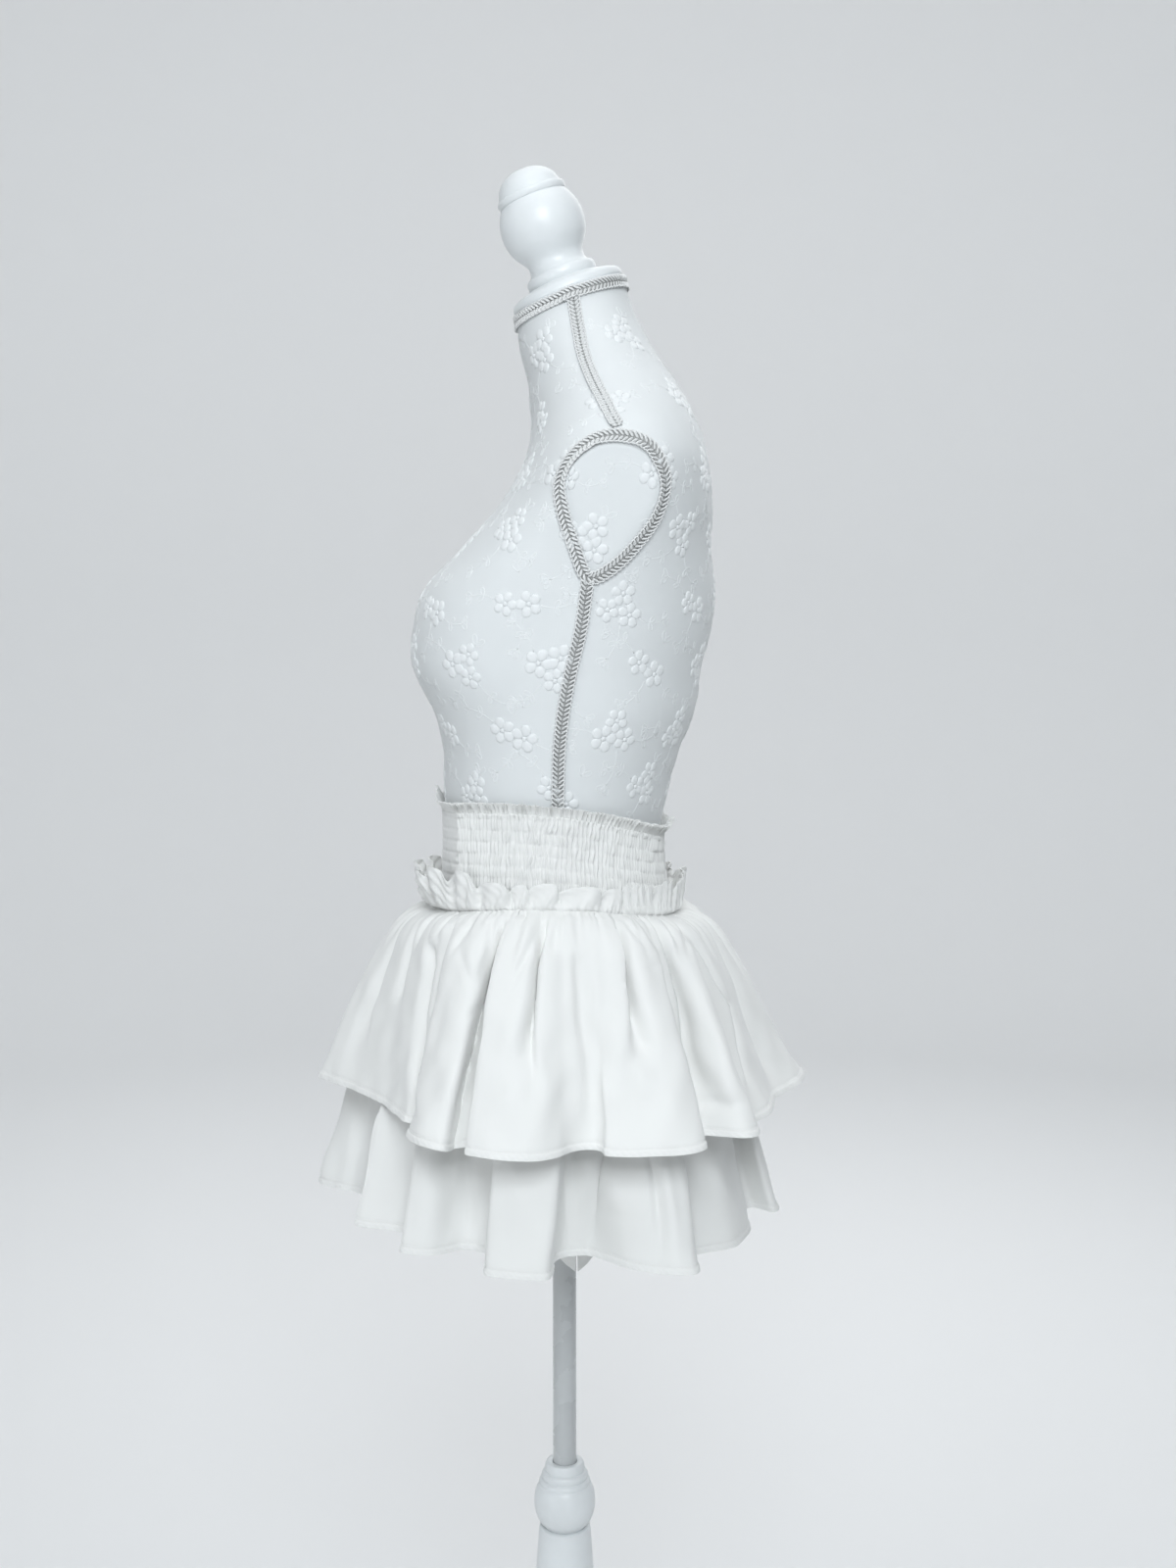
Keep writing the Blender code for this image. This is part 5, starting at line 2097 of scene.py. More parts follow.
class Crease(NamedTuple):
    """A fold line from the waist seam downwards, with its sharp side at -1, 0 or 1."""

    angles_deg: tuple[float, ...]
    drops: tuple[float, ...]
    depth: float
    width: float
    edge: int = 0


class Wrinkle(NamedTuple):
    """A short slanting dent, or a ridge if its depth is negative."""

    from_deg: float
    from_drop: float
    to_deg: float
    to_drop: float
    depth: float
    width: float


def fold_back(points: Sequence[tuple[float, float]], seed: int) -> list[HemPoint]:
    """Add steep flanks between crests and valleys of a hem's hidden side.

    Args:
        points: Crests and valleys by turns, as angles and radii.
        seed: Seed of the small differences between them.

    Returns:
        The denser hem line.
    """
    dice = np.random.default_rng(seed)
    line = []
    for (angle, radius), (next_angle, next_radius) in zip(points, points[1:]):
        line.append(HemPoint(angle, radius))
        rising = next_radius > radius
        share = (0.30 if rising else 0.70) + dice.uniform(-0.12, 0.12)
        overhang = dice.uniform(-2.2, 2.2)
        middle = angle + (next_angle - angle) * share + overhang
        line.append(HemPoint(middle, (radius + next_radius) / 2))
    line.append(HemPoint(*points[-1]))
    return line


UPPER_SHOWN = (
    (-91, 0.196), (-85, 0.187), (-79.4, 0.175), (-70, 0.163), (-60, 0.158), (-51, 0.161),
    (-44, 0.167), (-38.5, 0.159), (-34.8, 0.162), (-35.2, 0.175), (-37.5, 0.186), (-33, 0.197),
    (-25.3, 0.203), (-21.4, 0.195), (-18.0, 0.181), (-15.2, 0.173), (-13.4, 0.179), (-14.6, 0.193),
    (-18.1, 0.202), (-13.5, 0.2065), (-8.5, 0.207), (-4.0, 0.2035), (-1.0, 0.195), (1.2, 0.185),
    (3.6, 0.179), (6.0, 0.177), (8.0, 0.179), (8.9, 0.184), (9.0, 0.190), (9.6, 0.1945),
    (12.0, 0.198), (16.0, 0.202), (22.9, 0.2087), (27.5, 0.2095), (30.6, 0.203), (29.6, 0.192),
    (31.2, 0.182), (34.8, 0.179), (37.6, 0.190), (40.7, 0.205), (44.2, 0.206), (46.6, 0.198),
    (46.2, 0.189), (49.5, 0.185), (58, 0.184), (69.7, 0.174), (80, 0.182), (88, 0.191),
    (95, 0.194), (100.5, 0.188),
)
UPPER_HIDDEN = (
    (106, 0.173), (118, 0.200), (130, 0.177), (142, 0.204), (153, 0.174), (165, 0.203),
    (176, 0.169), (188, 0.205), (200, 0.180), (212, 0.206), (223, 0.172), (234, 0.196),
    (245, 0.170), (257, 0.187),
)
LOWER_SHOWN = (
    (-99, 0.203), (-93, 0.186), (-91, 0.170), (-86, 0.160), (-76, 0.156), (-66, 0.160),
    (-62.4, 0.168), (-63.9, 0.177), (-59, 0.170), (-53.4, 0.155), (-47.5, 0.152),
    (-42.3, 0.158), (-40.2, 0.168), (-41.6, 0.180), (-36.5, 0.176), (-31, 0.162),
    (-28, 0.149), (-22.5, 0.146), (-18.2, 0.149), (-15.8, 0.162), (-17.3, 0.184),
    (-12.6, 0.189), (-8, 0.1885), (-3.2, 0.187), (-2.2, 0.176), (-2.4, 0.156), (0.2, 0.140),
    (5, 0.135), (10, 0.138), (16.9, 0.165), (23, 0.185), (29.4, 0.194), (32.4, 0.186),
    (31.6, 0.174), (34, 0.163), (38.4, 0.161), (50, 0.168), (62, 0.161), (67.5, 0.157),
    (72, 0.150), (80, 0.146), (84.5, 0.149), (83.0, 0.160), (81.5, 0.169), (87, 0.172),
    (94, 0.160),
)
LOWER_HIDDEN = (
    (98, 0.152), (106, 0.175), (116, 0.150), (129, 0.181), (141, 0.153), (153, 0.179),
    (165, 0.149), (177, 0.176), (188, 0.146), (200, 0.179), (212, 0.152), (223, 0.181),
    (234, 0.155), (247, 0.177),
)
UPPER_CREASES = tuple(Crease(*row) for row in (
    ((-18.3, -18.9, -19.5, -20.4, -20.6), (0.03, 0.37, 0.54, 0.78, 1.0), 0.0165, 0.0046, 1),
    ((-23.0, -21.2, -22.3), (0.0, 0.15, 0.30), 0.0034, 0.0030),
    ((-47.3, -44.9, -45.7, -44.0, -39.0), (0.12, 0.25, 0.46, 0.73, 0.90), 0.0090, 0.0056),
    ((-32.5, -33.5, -32.0), (0.30, 0.50, 0.80), 0.0022, 0.0070),
    ((-60.0, -63.0), (0.0, 0.5), 0.0060, 0.0046),
    ((-75.0, -78.0), (0.0, 0.7), 0.0075, 0.0056, 1),
    ((-4.6, -4.7, -5.3, -6.3, -6.4), (0.0, 0.07, 0.31, 0.50, 0.62), 0.0128, 0.0046, 1),
    ((3.9, 4.2, 5.2, 6.6, 8.4), (0.14, 0.27, 0.45, 0.62, 0.92), 0.0036, 0.0080, -1),
    ((1.4, 0.3), (0.69, 0.85), 0.0014, 0.0060),
    ((18.0, 17.9, 17.6, 17.8, 18.6), (0.0, 0.15, 0.28, 0.40, 0.50), 0.0135, 0.0046, -1),
    ((19.0, 20.4, 22.3), (0.45, 0.60, 0.75), 0.0028, 0.0060),
    ((16.6, 16.0, 13.8), (0.55, 0.76, 0.88), 0.0022, 0.0060),
    (
        (33.6, 33.2, 34.2, 35.2, 34.6, 33.4), (0.0, 0.07, 0.24, 0.42, 0.62, 0.85),
        0.0110, 0.0050, -1,
    ),
    ((50.5, 54.0, 58.5, 56.0, 54.5), (0.10, 0.30, 0.45, 0.64, 0.84), 0.0076, 0.0050, -1),
    ((72.0, 74.0), (0.0, 0.9), 0.0060, 0.0060, -1),
    ((84.0, 85.0), (0.0, 0.4), 0.0034, 0.0040),
))
UPPER_WRINKLES = tuple(Wrinkle(*row) for row in (
    (-31.5, 0.14, -23.5, 0.31, 0.0016, 0.0030),
    (-24.5, 0.45, -20.0, 0.38, 0.0012, 0.0024),
    (-37.3, 0.05, -46.5, 0.13, -0.0026, 0.0040),
    (-29.5, 0.04, -33.5, 0.17, 0.0022, 0.0028),
    (-7.6, 0.08, -12.8, 0.29, 0.0024, 0.0026),
    (-10.3, 0.08, -12.6, 0.22, -0.0012, 0.0026),
    (-1.2, 0.03, -2.4, 0.16, 0.0022, 0.0024),
    (21.1, 0.195, 28.0, 0.145, 0.0010, 0.0017),
    (23.4, 0.225, 32.0, 0.175, 0.0010, 0.0017),
    (21.1, 0.02, 25.4, 0.12, 0.0024, 0.0028),
    (27.0, 0.02, 30.0, 0.13, 0.0018, 0.0026),
    (49.7, 0.04, 42.3, 0.16, 0.0026, 0.0034),
    (42.8, 0.01, 39.8, 0.09, 0.0020, 0.0026),
    (38.6, 0.07, 37.2, 0.15, -0.0022, 0.0036),
    (42.0, 0.36, 42.2, 0.80, -0.0026, 0.0060),
    (36.5, 0.855, 40.4, 0.845, 0.0034, 0.0046),
    (12.0, 0.70, 9.0, 0.82, -0.0014, 0.0060),
    (57.0, 0.05, 62.0, 0.20, 0.0022, 0.0032),
    (-54.0, 0.03, -58.0, 0.22, 0.0022, 0.0034),
))
LOWER_CREASES = tuple(Crease(*row) for row in (
    ((-30.9, -30.4, -29.9, -29.5), (0.62, 0.82, 0.90, 1.0), 0.0060, 0.0060),
    ((22.0, 22.8, 22.9, 22.6), (0.64, 0.76, 0.85, 0.97), 0.0046, 0.0030, -1),
    ((-60.0, -58.0), (0.5, 1.0), 0.0030, 0.0060),
))
LOWER_WRINKLES = tuple(Wrinkle(*row) for row in (
    (14.6, 0.66, 15.0, 0.86, -0.0080, 0.0120),
    (26.1, 0.70, 26.2, 0.92, -0.0030, 0.0046),
    (3.0, 0.62, 4.0, 0.88, 0.0030, 0.0070),
    (-12.0, 0.70, -11.0, 1.0, 0.0010, 0.0140),
    (52.0, 0.70, 64.0, 0.90, 0.0020, 0.0100),
))
SEAM_TUCK = 0.0008
WRINKLE_RADIUS = 0.16
WRINKLE_FALL = 0.17
CLOTH_SLOPE = 1.12
FLARE_DROPS = (0.00, 0.02, 0.07, 0.18, 0.36, 0.55, 0.75, 0.90, 1.00)
FLARE_FRONT = (0.00, 0.11, 0.27, 0.44, 0.60, 0.73, 0.85, 0.94, 1.00)
FLARE_BACK = (0.00, 0.09, 0.23, 0.38, 0.54, 0.66, 0.79, 0.91, 1.00)
FLARE_SIDE = (0.00, 0.07, 0.20, 0.36, 0.50, 0.64, 0.79, 0.91, 1.00)
FOLD_SHARE = (0.00, 0.01, 0.08, 0.24, 0.44, 0.62, 0.81, 0.94, 1.00)
SLIDE_DROPS = (0.0, 0.08, 0.22, 0.45, 0.75, 1.0)
SLIDE_SHARE = (0.0, 0.16, 0.48, 0.80, 0.96, 1.0)


@dataclass
class Flounce:
    """One gathered tier of the skirt, in a front and a back half."""

    name: str
    node: str
    shown: Sequence[tuple[float, float]]
    hidden: Sequence[tuple[float, float]]
    hem: Belt
    mean_radius: float
    waist_out: float
    seam_deg: float
    creases: tuple[Crease, ...] = ()
    wrinkles: tuple[Wrinkle, ...] = ()
    late_deg: float | None = None
    slants: tuple[tuple[float, float, float], ...] = ()
    columns: int = 640
    drops: Array = field(default_factory=lambda: np.concatenate([
        np.linspace(0, 0.07, 8)[:-1], np.linspace(0.07, 0.93, 48)[:-1], np.linspace(0.93, 1, 11),
    ]))
    gathers: int = 210
    long_gathers: int = 58
    chance_folds: int = 26
    ripple_waves: int = 9
    ripple_height: float = 0.00022
    thickness: float = 0.0007
    seed: int = 5
    flat: tuple[float, float] = (0.76, 0.17)
    area: float = 0.125
    rests_on: str = "lower_flounce_front"

    def hem_line(self) -> tuple[Array, Array, Array]:
        """Hem's angle, radius and waist heading for even steps along the cloth, in degrees.

        Returns:
            Heading and radius of the hem, and heading at the waist, of each column.
        """
        raw = [HemPoint(*p) for p in self.shown] + fold_back(self.hidden, self.seed)
        angle = np.array([p.angle_deg for p in raw])
        radius = np.array([p.radius for p in raw])
        rad = np.radians(angle)
        xy = np.stack([radius * np.cos(rad), radius * np.sin(rad)], 1)
        curve = spline(xy, 12, True)
        line = np.vstack([curve, curve[:1]])
        length = running_length(line)
        at = np.linspace(0, length[-1], self.columns + 1)[:-1]
        x, y = (np.interp(at, length, line[:, k]) for k in (0, 1))
        heading = np.degrees(np.unwrap(np.arctan2(y, x)))
        reach = round(self.columns * 0.022)
        kernel = np.hanning(2 * reach + 3)[1:-1]
        kernel /= kernel.sum()
        lean = heading - np.arange(self.columns) * 360 / self.columns
        wide = np.concatenate([lean[-reach - 1:], lean, lean[:reach + 1]])
        smooth = np.convolve(wide, kernel, "same")[reach + 1:-reach - 1]
        waist = smooth + np.arange(self.columns) * 360 / self.columns
        self.cloth_length = float(length[-1])
        return heading, np.hypot(x, y), waist

    def crease_depth(self, heading: Array, drop: Array, radius: Array) -> tuple[Array, Array]:
        """Depth of all fold lines at places of the cloth, and how far their edges lean over.

        Args:
            heading: Headings in degrees.
            drop: Share of the way down of each row.
            radius: Distance from the stand's axis.

        Returns:
            Depth, and way to the left around the body, both in metres.
        """
        depth, lean = np.zeros_like(radius), np.zeros_like(radius)
        for crease in self.creases:
            line = np.interp(drop[:, 0], crease.drops, crease.angles_deg)[:, None]
            off = np.radians(heading_gap(heading, line)) * radius
            first, last = crease.drops[0], crease.drops[-1]
            fade = smooth_step((drop - first + 0.02) / 0.10)
            if last < 1.0:
                fade = fade * smooth_step((last + 0.18 - drop) / 0.36)
            opening = 1 + 1.6 * (1 - fade) * (drop > first + 0.1)
            wide = crease.width * (0.6 + 1.1 * drop) * opening
            ahead = off * crease.edge
            flank = np.where(ahead > 0, wide * 0.5, wide * 1.35) if crease.edge else wide
            shape = bell(off, flank)
            fade = fade**1.3 * (0.42 + 0.58 * smooth_step((drop - 0.02) / 0.22))
            depth += crease.depth * fade * shape
            if crease.edge:
                brim = bell(ahead - wide * 0.9, wide * 0.8)
                lean -= crease.edge * 0.36 * crease.depth * fade * brim
        for wrinkle in self.wrinkles:
            x = np.radians(heading_gap(heading, wrinkle.from_deg)) * WRINKLE_RADIUS
            y = (drop - wrinkle.from_drop) * WRINKLE_FALL
            run_x = math.radians(wrinkle.to_deg - wrinkle.from_deg) * WRINKLE_RADIUS
            run_y = (wrinkle.to_drop - wrinkle.from_drop) * WRINKLE_FALL
            along = np.clip((x * run_x + y * run_y) / (run_x**2 + run_y**2), 0, 1)
            beside = np.hypot(x - along * run_x, y - along * run_y)
            swell = 0.45 + 0.55 * np.sin(np.pi * along)
            depth += wrinkle.depth * swell * bell(beside, wrinkle.width)
        return depth, lean

    def gather_depth(self, heading: Array, drop: Array, radius: Array) -> Array:
        """Depth of the gathers that leave the waist seam, most of them short.

        Args:
            heading: Headings in degrees.
            drop: Share of the way down of each row.
            radius: Distance from the stand's axis.

        Returns:
            Depth in metres.
        """
        dice = np.random.default_rng(self.seed + 100)
        depth = np.zeros_like(radius)
        for count, deep, far, narrow in (
            (self.gathers, (0.0008, 0.0021), (0.018, 0.065), (0.0009, 0.0013)),
            (self.long_gathers, (0.0008, 0.0026), (0.06, 0.20), (0.0011, 0.0020)),
        ):
            for k in range(count):
                place = 360 * (k + dice.uniform(-0.32, 0.32)) / count
                strength, reach = dice.uniform(*deep), dice.uniform(*far)
                slant, width = dice.uniform(-8, 8), dice.uniform(*narrow)
                off = np.radians(heading_gap(heading - place, slant * drop)) * radius
                fade = smooth_step(drop / 0.012 + 0.35) * np.exp(-((drop / reach) ** 1.6))
                wide = width + 0.016 * drop
                depth += strength * fade * bell(off, wide)
        return depth

    def soft_folds(self, heading: Array, drop: Array, radius: Array) -> Array:
        """Depth of chance fold lines on the side that the near creases leave free.

        Args:
            heading: Headings in degrees.
            drop: Share of the way down of each row.
            radius: Distance from the stand's axis.

        Returns:
            Depth in metres.
        """
        dice = np.random.default_rng(self.seed + 200)
        depth = np.zeros_like(radius)
        for k in range(self.chance_folds):
            place = 96 + 168 * (k + dice.uniform(-0.3, 0.3)) / self.chance_folds
            first, last = 0.12 * dice.random(), dice.uniform(0.3, 0.95)
            drift = dice.uniform(-4, 4)
            off = np.radians(heading_gap(heading - place, drift * drop)) * radius
            fade = smooth_step((drop - first + 0.02) / 0.08)
            fade = fade * smooth_step((last - drop) / 0.25 + 0.4)
            wide = dice.uniform(0.0030, 0.0055) * (0.6 + 1.1 * drop)
            sharp = dice.random() < 0.35
            shape = np.exp(-np.abs(off / wide)) if sharp else bell(off, wide)
            depth += dice.uniform(0.0022, 0.0048) * fade * shape
        return depth

    def ripples(self, along: Array, fall: Array) -> Array:
        """Faint unevenness of the cloth, in metres.

        Args:
            along: Distance along the cloth.
            fall: Distance below the waist seam.

        Returns:
            Height of the surface.
        """
        dice = np.random.default_rng(self.seed + 300)
        sum_of = np.zeros(np.broadcast(along, fall).shape)
        for _ in range(self.ripple_waves):
            pitch = dice.uniform(0.022, 0.060)
            way = dice.uniform(-0.9, 0.9)
            phase = dice.uniform(0, TAU)
            wave = along * math.cos(way) + fall * math.sin(way)
            sum_of += np.sin(TAU * wave / pitch + phase + 1.3 * np.sin(fall / 0.03 + phase))
        return self.ripple_height * sum_of

    def hem_relief(self, along: Array, above: Array) -> Array:
        """Rolled hem with its stitch groove and slanting puckers.

        Args:
            along: Distance along the cloth.
            above: Distance above the hem.

        Returns:
            Height of the surface.
        """
        share = np.clip(above / HEM_DEPTH, 0, 1)
        rolled = 0.0006 * np.sin(np.pi * (0.12 + 0.88 * share)) ** 0.5 * (above < HEM_DEPTH)
        groove = 0.0005 * bell(above - HEM_STITCH, 0.0008)
        dice = np.random.default_rng(self.seed + 400)
        swell = sum(
            np.sin(TAU * along / dice.uniform(0.05, 0.14) + dice.uniform(0, TAU)) for _ in range(3)
        )
        pucker = np.sin(TAU * (along + 1.1 * above) / 0.0078 + 0.8 * swell)
        near = bell(above - 0.0030, 0.0040)
        return rolled - groove + 0.00034 * pucker * near * (0.6 + 0.4 * swell / 3)

    def limits(self, points: Array) -> Array:
        """Hook for a tier that has to stay between others; the plain tier is free."""
        return points

    def held_depth(self, depth: Array, drop: Array) -> Array:
        """Hook for a tier whose folds have little room near the waist."""
        return depth

    def surface(self) -> Array:
        """Outer face of the whole tier, in rows from the waist to the hem.

        Returns:
            The grid of points.
        """
        hem_heading, hem_radius, waist_heading = self.hem_line()
        drop = self.drops[:, None]
        slide = smooth_curve(SLIDE_DROPS, SLIDE_SHARE, drop)
        late = np.zeros(self.columns)
        if self.late_deg is not None:
            late = bell(heading_gap(hem_heading, self.late_deg), 5.0)
            late = np.convolve(late, smoothing(15), "same")
        ahead = np.arange(self.columns) * (360 / self.columns)
        calm = np.convolve(hem_heading - ahead, smoothing(47), "same") + ahead
        calm = hem_heading + (calm - hem_heading) * np.minimum(1.0, 1.6 * late)
        heading_deg = waist_heading + (calm - waist_heading) * slide
        heading_deg = heading_deg + (hem_heading - calm) * slide**7
        for place, reach, shift in self.slants:
            near = bell(heading_gap(hem_heading, place), reach)
            heading_deg = heading_deg + shift * near * smooth_step((1 - drop) / 0.36)
        heading = np.radians(heading_deg)
        seam = FORM.angle_to(heading, np.full_like(heading, WAIST_SEAM.side), self.waist_out)
        top = WAIST_SEAM.at(seam) - SEAM_TUCK
        waist = FORM.points(seam, top, self.waist_out)
        waist_radius = np.hypot(waist[..., 0], waist[..., 1])
        lean = (1 + np.sin(heading)) / 2
        flare = smooth_curve(FLARE_DROPS, FLARE_FRONT, drop) * (1 - lean)
        flare = flare + smooth_curve(FLARE_DROPS, FLARE_BACK, drop) * lean
        beside = np.abs(np.cos(heading)) ** 2
        flare = flare * (1 - beside) + smooth_curve(FLARE_DROPS, FLARE_SIDE, drop) * beside
        fold = np.maximum(smooth_curve(FLARE_DROPS, FOLD_SHARE, drop), 0) ** (1 + 3.6 * late)
        radius = waist_radius + (self.mean_radius - waist_radius) * flare
        radius = radius + (hem_radius - self.mean_radius) * fold
        height = top + (self.hem.at(heading) - top) * drop
        fall = top - height
        along = (np.arange(self.columns) / self.columns * self.cloth_length)[None, :]
        points = np.stack([radius * np.cos(heading), radius * np.sin(heading), height], -1)
        points = self.limits(points)
        depth, lean = self.crease_depth(heading_deg, drop, radius)
        depth = depth + self.gather_depth(heading_deg, drop, radius)
        depth = depth + self.soft_folds(heading_deg, drop, radius)
        depth = depth - 0.0022 * smooth_step(drop / 0.03) * smooth_step((0.30 - drop) / 0.25)
        depth = self.held_depth(depth, drop)
        aside = np.stack([-np.sin(heading), np.cos(heading), np.zeros_like(heading)], -1)
        points = points - grid_normals(points, True) * depth[..., None] + aside * lean[..., None]
        normals = grid_normals(points, True)
        above = (top - self.hem.at(heading)) * (1 - drop) * CLOTH_SLOPE
        relief = self.ripples(along, fall) * smooth_step(drop / 0.1)
        relief = relief + self.hem_relief(np.broadcast_to(along, above.shape), above)
        return points + normals * relief[..., None]

    def build(self, satin: Material) -> None:
        """Make and dress both halves.

        Args:
            satin: Their material.
        """
        points = self.surface()
        heading = np.degrees(np.unwrap(np.arctan2(points[-1, :, 1], points[-1, :, 0])))
        left = int(np.argmin(np.abs(heading - self.seam_deg)))
        right = int(np.argmin(np.abs(heading - (180 - self.seam_deg))))
        spans = {
            Half.BACK: np.arange(left, right + 1),
            Half.FRONT: np.arange(right, left + self.columns + 1) % self.columns,
        }
        drop = self.drops
        down = (1 - drop) * float(WAIST_SEAM.side - self.hem.side) * CLOTH_SLOPE
        for half, chosen in spans.items():
            across = np.arange(len(chosen)) * self.cloth_length / self.columns
            word = half.name.lower()
            item = cloth_piece(
                f"{self.name}_{word}", points[:, chosen], False, self.thickness, satin,
                across, down,
            )
            dress(item, Body.FIGURE, "skort_cloth", f"{self.node}_{word}")


@dataclass
class InnerFlounce(Flounce):
    """The lower tier, which hangs between the hips and the upper tier."""

    outer: Array = field(default_factory=lambda: np.zeros((1, 1, 3)))
    clearance: float = 0.0028
    soft: float = 0.0025
    hip_out: float = 0.0072
    hip_height: float = 0.815

    def ceiling(self, heading: Array, heights: Array) -> Array:
        """Greatest radius under the upper tier at headings and heights.

        Args:
            heading: Headings in radians.
            heights: Heights in metres.

        Returns:
            The radius, in metres.
        """
        bins = 180
        around = np.degrees(np.arctan2(self.outer[..., 1], self.outer[..., 0])) % 360
        radius = np.hypot(self.outer[..., 0], self.outer[..., 1])
        rows = []
        for r in range(0, self.outer.shape[0], 3):
            index = (around[r] / (360 / bins)).astype(int) % bins
            least = np.full(bins, np.inf)
            np.minimum.at(least, index, radius[r])
            known = np.isfinite(least)
            least = np.interp(
                np.arange(bins), np.arange(bins)[known], least[known], period=bins
            )
            least = np.minimum.reduce([np.roll(least, k) for k in (-1, 0, 1)])
            least = (np.roll(least, 1) + 2 * least + np.roll(least, -1)) / 4
            rows.append((self.outer[r, :, 2].mean(), least))
        levels = np.array([row[0] for row in rows])[::-1]
        table = np.array([row[1] for row in rows])[::-1]
        at_heading = (np.degrees(heading) % 360) / (360 / bins) - 0.5
        low = np.floor(at_heading).astype(int)
        share = at_heading - low
        level = np.interp(heights, levels, np.arange(len(levels)))
        below = np.floor(level).astype(int)
        above = np.minimum(below + 1, len(levels) - 1)
        part = level - below
        under, over = (
            table[row, low % bins] * (1 - share) + table[row, (low + 1) % bins] * share
            for row in (below, above)
        )
        limit = under * (1 - part) + over * part - self.clearance - self.thickness
        return limit + 0.9 * np.maximum(0.0, levels[0] - 0.001 - heights)

    def held_depth(self, depth: Array, drop: Array) -> Array:
        """Folds that open only below the upper tier's middle."""
        share = smooth_step((drop - 0.25) / 0.30)
        return np.where(depth > 0, depth * (0.15 + 0.85 * share), depth * share)

    def limits(self, points: Array) -> Array:
        """Keep the tier's points outside the hips and inside the upper tier.

        Args:
            points: The tier's points.

        Returns:
            The points, moved in or out.
        """
        heading = np.arctan2(points[..., 1], points[..., 0])
        radius = np.hypot(points[..., 0], points[..., 1])
        heights = points[..., 2]
        ceiling = self.ceiling(heading, heights)
        radius = ceiling - self.soft * np.logaddexp(0, (ceiling - radius) / self.soft)
        hips = np.maximum(heights, self.hip_height)
        start = self.waist_out
        out = start + (self.hip_out - start) * np.minimum(1.0, 3 * self.drops)[:, None]
        body = np.empty_like(radius)
        for r in range(radius.shape[0]):
            body[r] = FORM.radius(heading[r], hips[r], float(out[r, 0]))
        body = body - 0.10 * (hips - heights)
        radius = np.maximum(radius, body)
        return np.stack([radius * np.cos(heading), radius * np.sin(heading), heights], -1)


@dataclass
class Shorts:
    """The four panels of the shorts under the skirt."""

    crotch: tuple[float, float, float] = (0.034, 0.010, 0.660)
    leg_side_x: float = 0.110
    leg_side_height: float = 0.738
    leg_half_depth: float = 0.070
    inseam_share: float = 0.11
    leave_form: float = 0.812
    crotch_gap: float = 0.0012
    crotch_soft: float = 0.003
    columns: int = 56
    rows: int = 60
    thickness: float = 0.0006
    flat: tuple[float, float] = (0.27, 0.30)
    seed: int = 61

    def surface(self, side: Side, half: Half) -> Array:
        """Outer face of one panel, from the waist to the leg's hem.

        Args:
            side: Wearer's side of the panel.
            half: Front or back.

        Returns:
            The grid of points.
        """
        dice = np.random.default_rng(self.seed + side.value + 3 * half.value)
        across = np.linspace(0, 1, self.columns)[None, :]
        fall = np.linspace(0, 2, self.rows)[:, None]
        centre_deg = 90 * half.value
        side_deg = 0 if side is Side.LEFT else 180 * half.value
        angle = np.radians(centre_deg + (side_deg - centre_deg) * across)
        top = WAIST_SEAM.at(angle) - SEAM_TUCK
        on_form = np.minimum(fall, 1.0)
        height = top + (self.leave_form - top) * on_form
        out = 0.0020 + 0.0020 * np.sin(math.pi / 2 * on_form)
        point = FORM.points(angle, height, out)
        x, y, z = self.crotch
        hem_x = x + (side.value * self.leg_side_x - x) * across
        opening = np.maximum(0.0, (across - self.inseam_share) / (1 - self.inseam_share))
        hem_y = y + half.value * (0.0009 + self.leg_half_depth * np.sin(math.pi * opening))
        hem_z = z + (self.leg_side_height - z) * (1 - (1 - across) ** 3)
        hem = np.stack(np.broadcast_arrays(hem_x, hem_y, hem_z), -1)
        t = np.maximum(fall - 1.0, 0.0)[..., None]
        bend = point.copy()
        bend[..., 2] += (0.3 + 0.2 * across) * (hem[..., 2] - point[..., 2])
        free = point * (1 - t) ** 2 + bend * 2 * t * (1 - t) + hem * t**2
        above = free[..., 2] - z - self.crotch_gap
        above = self.crotch_soft * np.logaddexp(0, above / self.crotch_soft)
        free[..., 2] = z + self.crotch_gap + above
        grid = np.where(fall[..., None] <= 1.0, point, free)
        if side.value * half.value > 0:
            grid = grid[:, ::-1]
        wave = np.zeros(grid.shape[:2])
        for _ in range(6):
            pitch, phase = dice.uniform(0.03, 0.08), dice.uniform(0, TAU)
            wave += np.sin(TAU * (grid[..., 0] + 0.4 * grid[..., 2]) / pitch + phase)
        loose = np.minimum(1.0, 6 * np.minimum(across, 1 - across))
        loose = smooth_step((fall - 1.0) / 0.5) * loose
        above = (2.0 - fall) * 0.10
        folded, stitch = smooth_step((0.009 - above) / 0.001), bell(above - 0.0090, 0.0012)
        lift = 0.0005 * wave * loose + (0.0004 * folded - 0.0004 * stitch)
        return grid + grid_normals(grid, False) * lift[..., None]

    def build(self, satin: Material) -> None:
        """Make and dress the four panels.

        Args:
            satin: The skort's material.
        """
        for side in Side:
            for half in Half:
                word = f"{half.name.lower()}_{side.name.lower()}"
                across = np.linspace(0, 0.26, self.columns)
                down = np.linspace(0.28, 0, self.rows)
                item = cloth_piece(
                    f"shorts_panel_{word}", self.surface(side, half), False, self.thickness,
                    satin, across, down,
                )
                dress(item, Body.FIGURE, "skort_cloth", f"shorts_{word}")


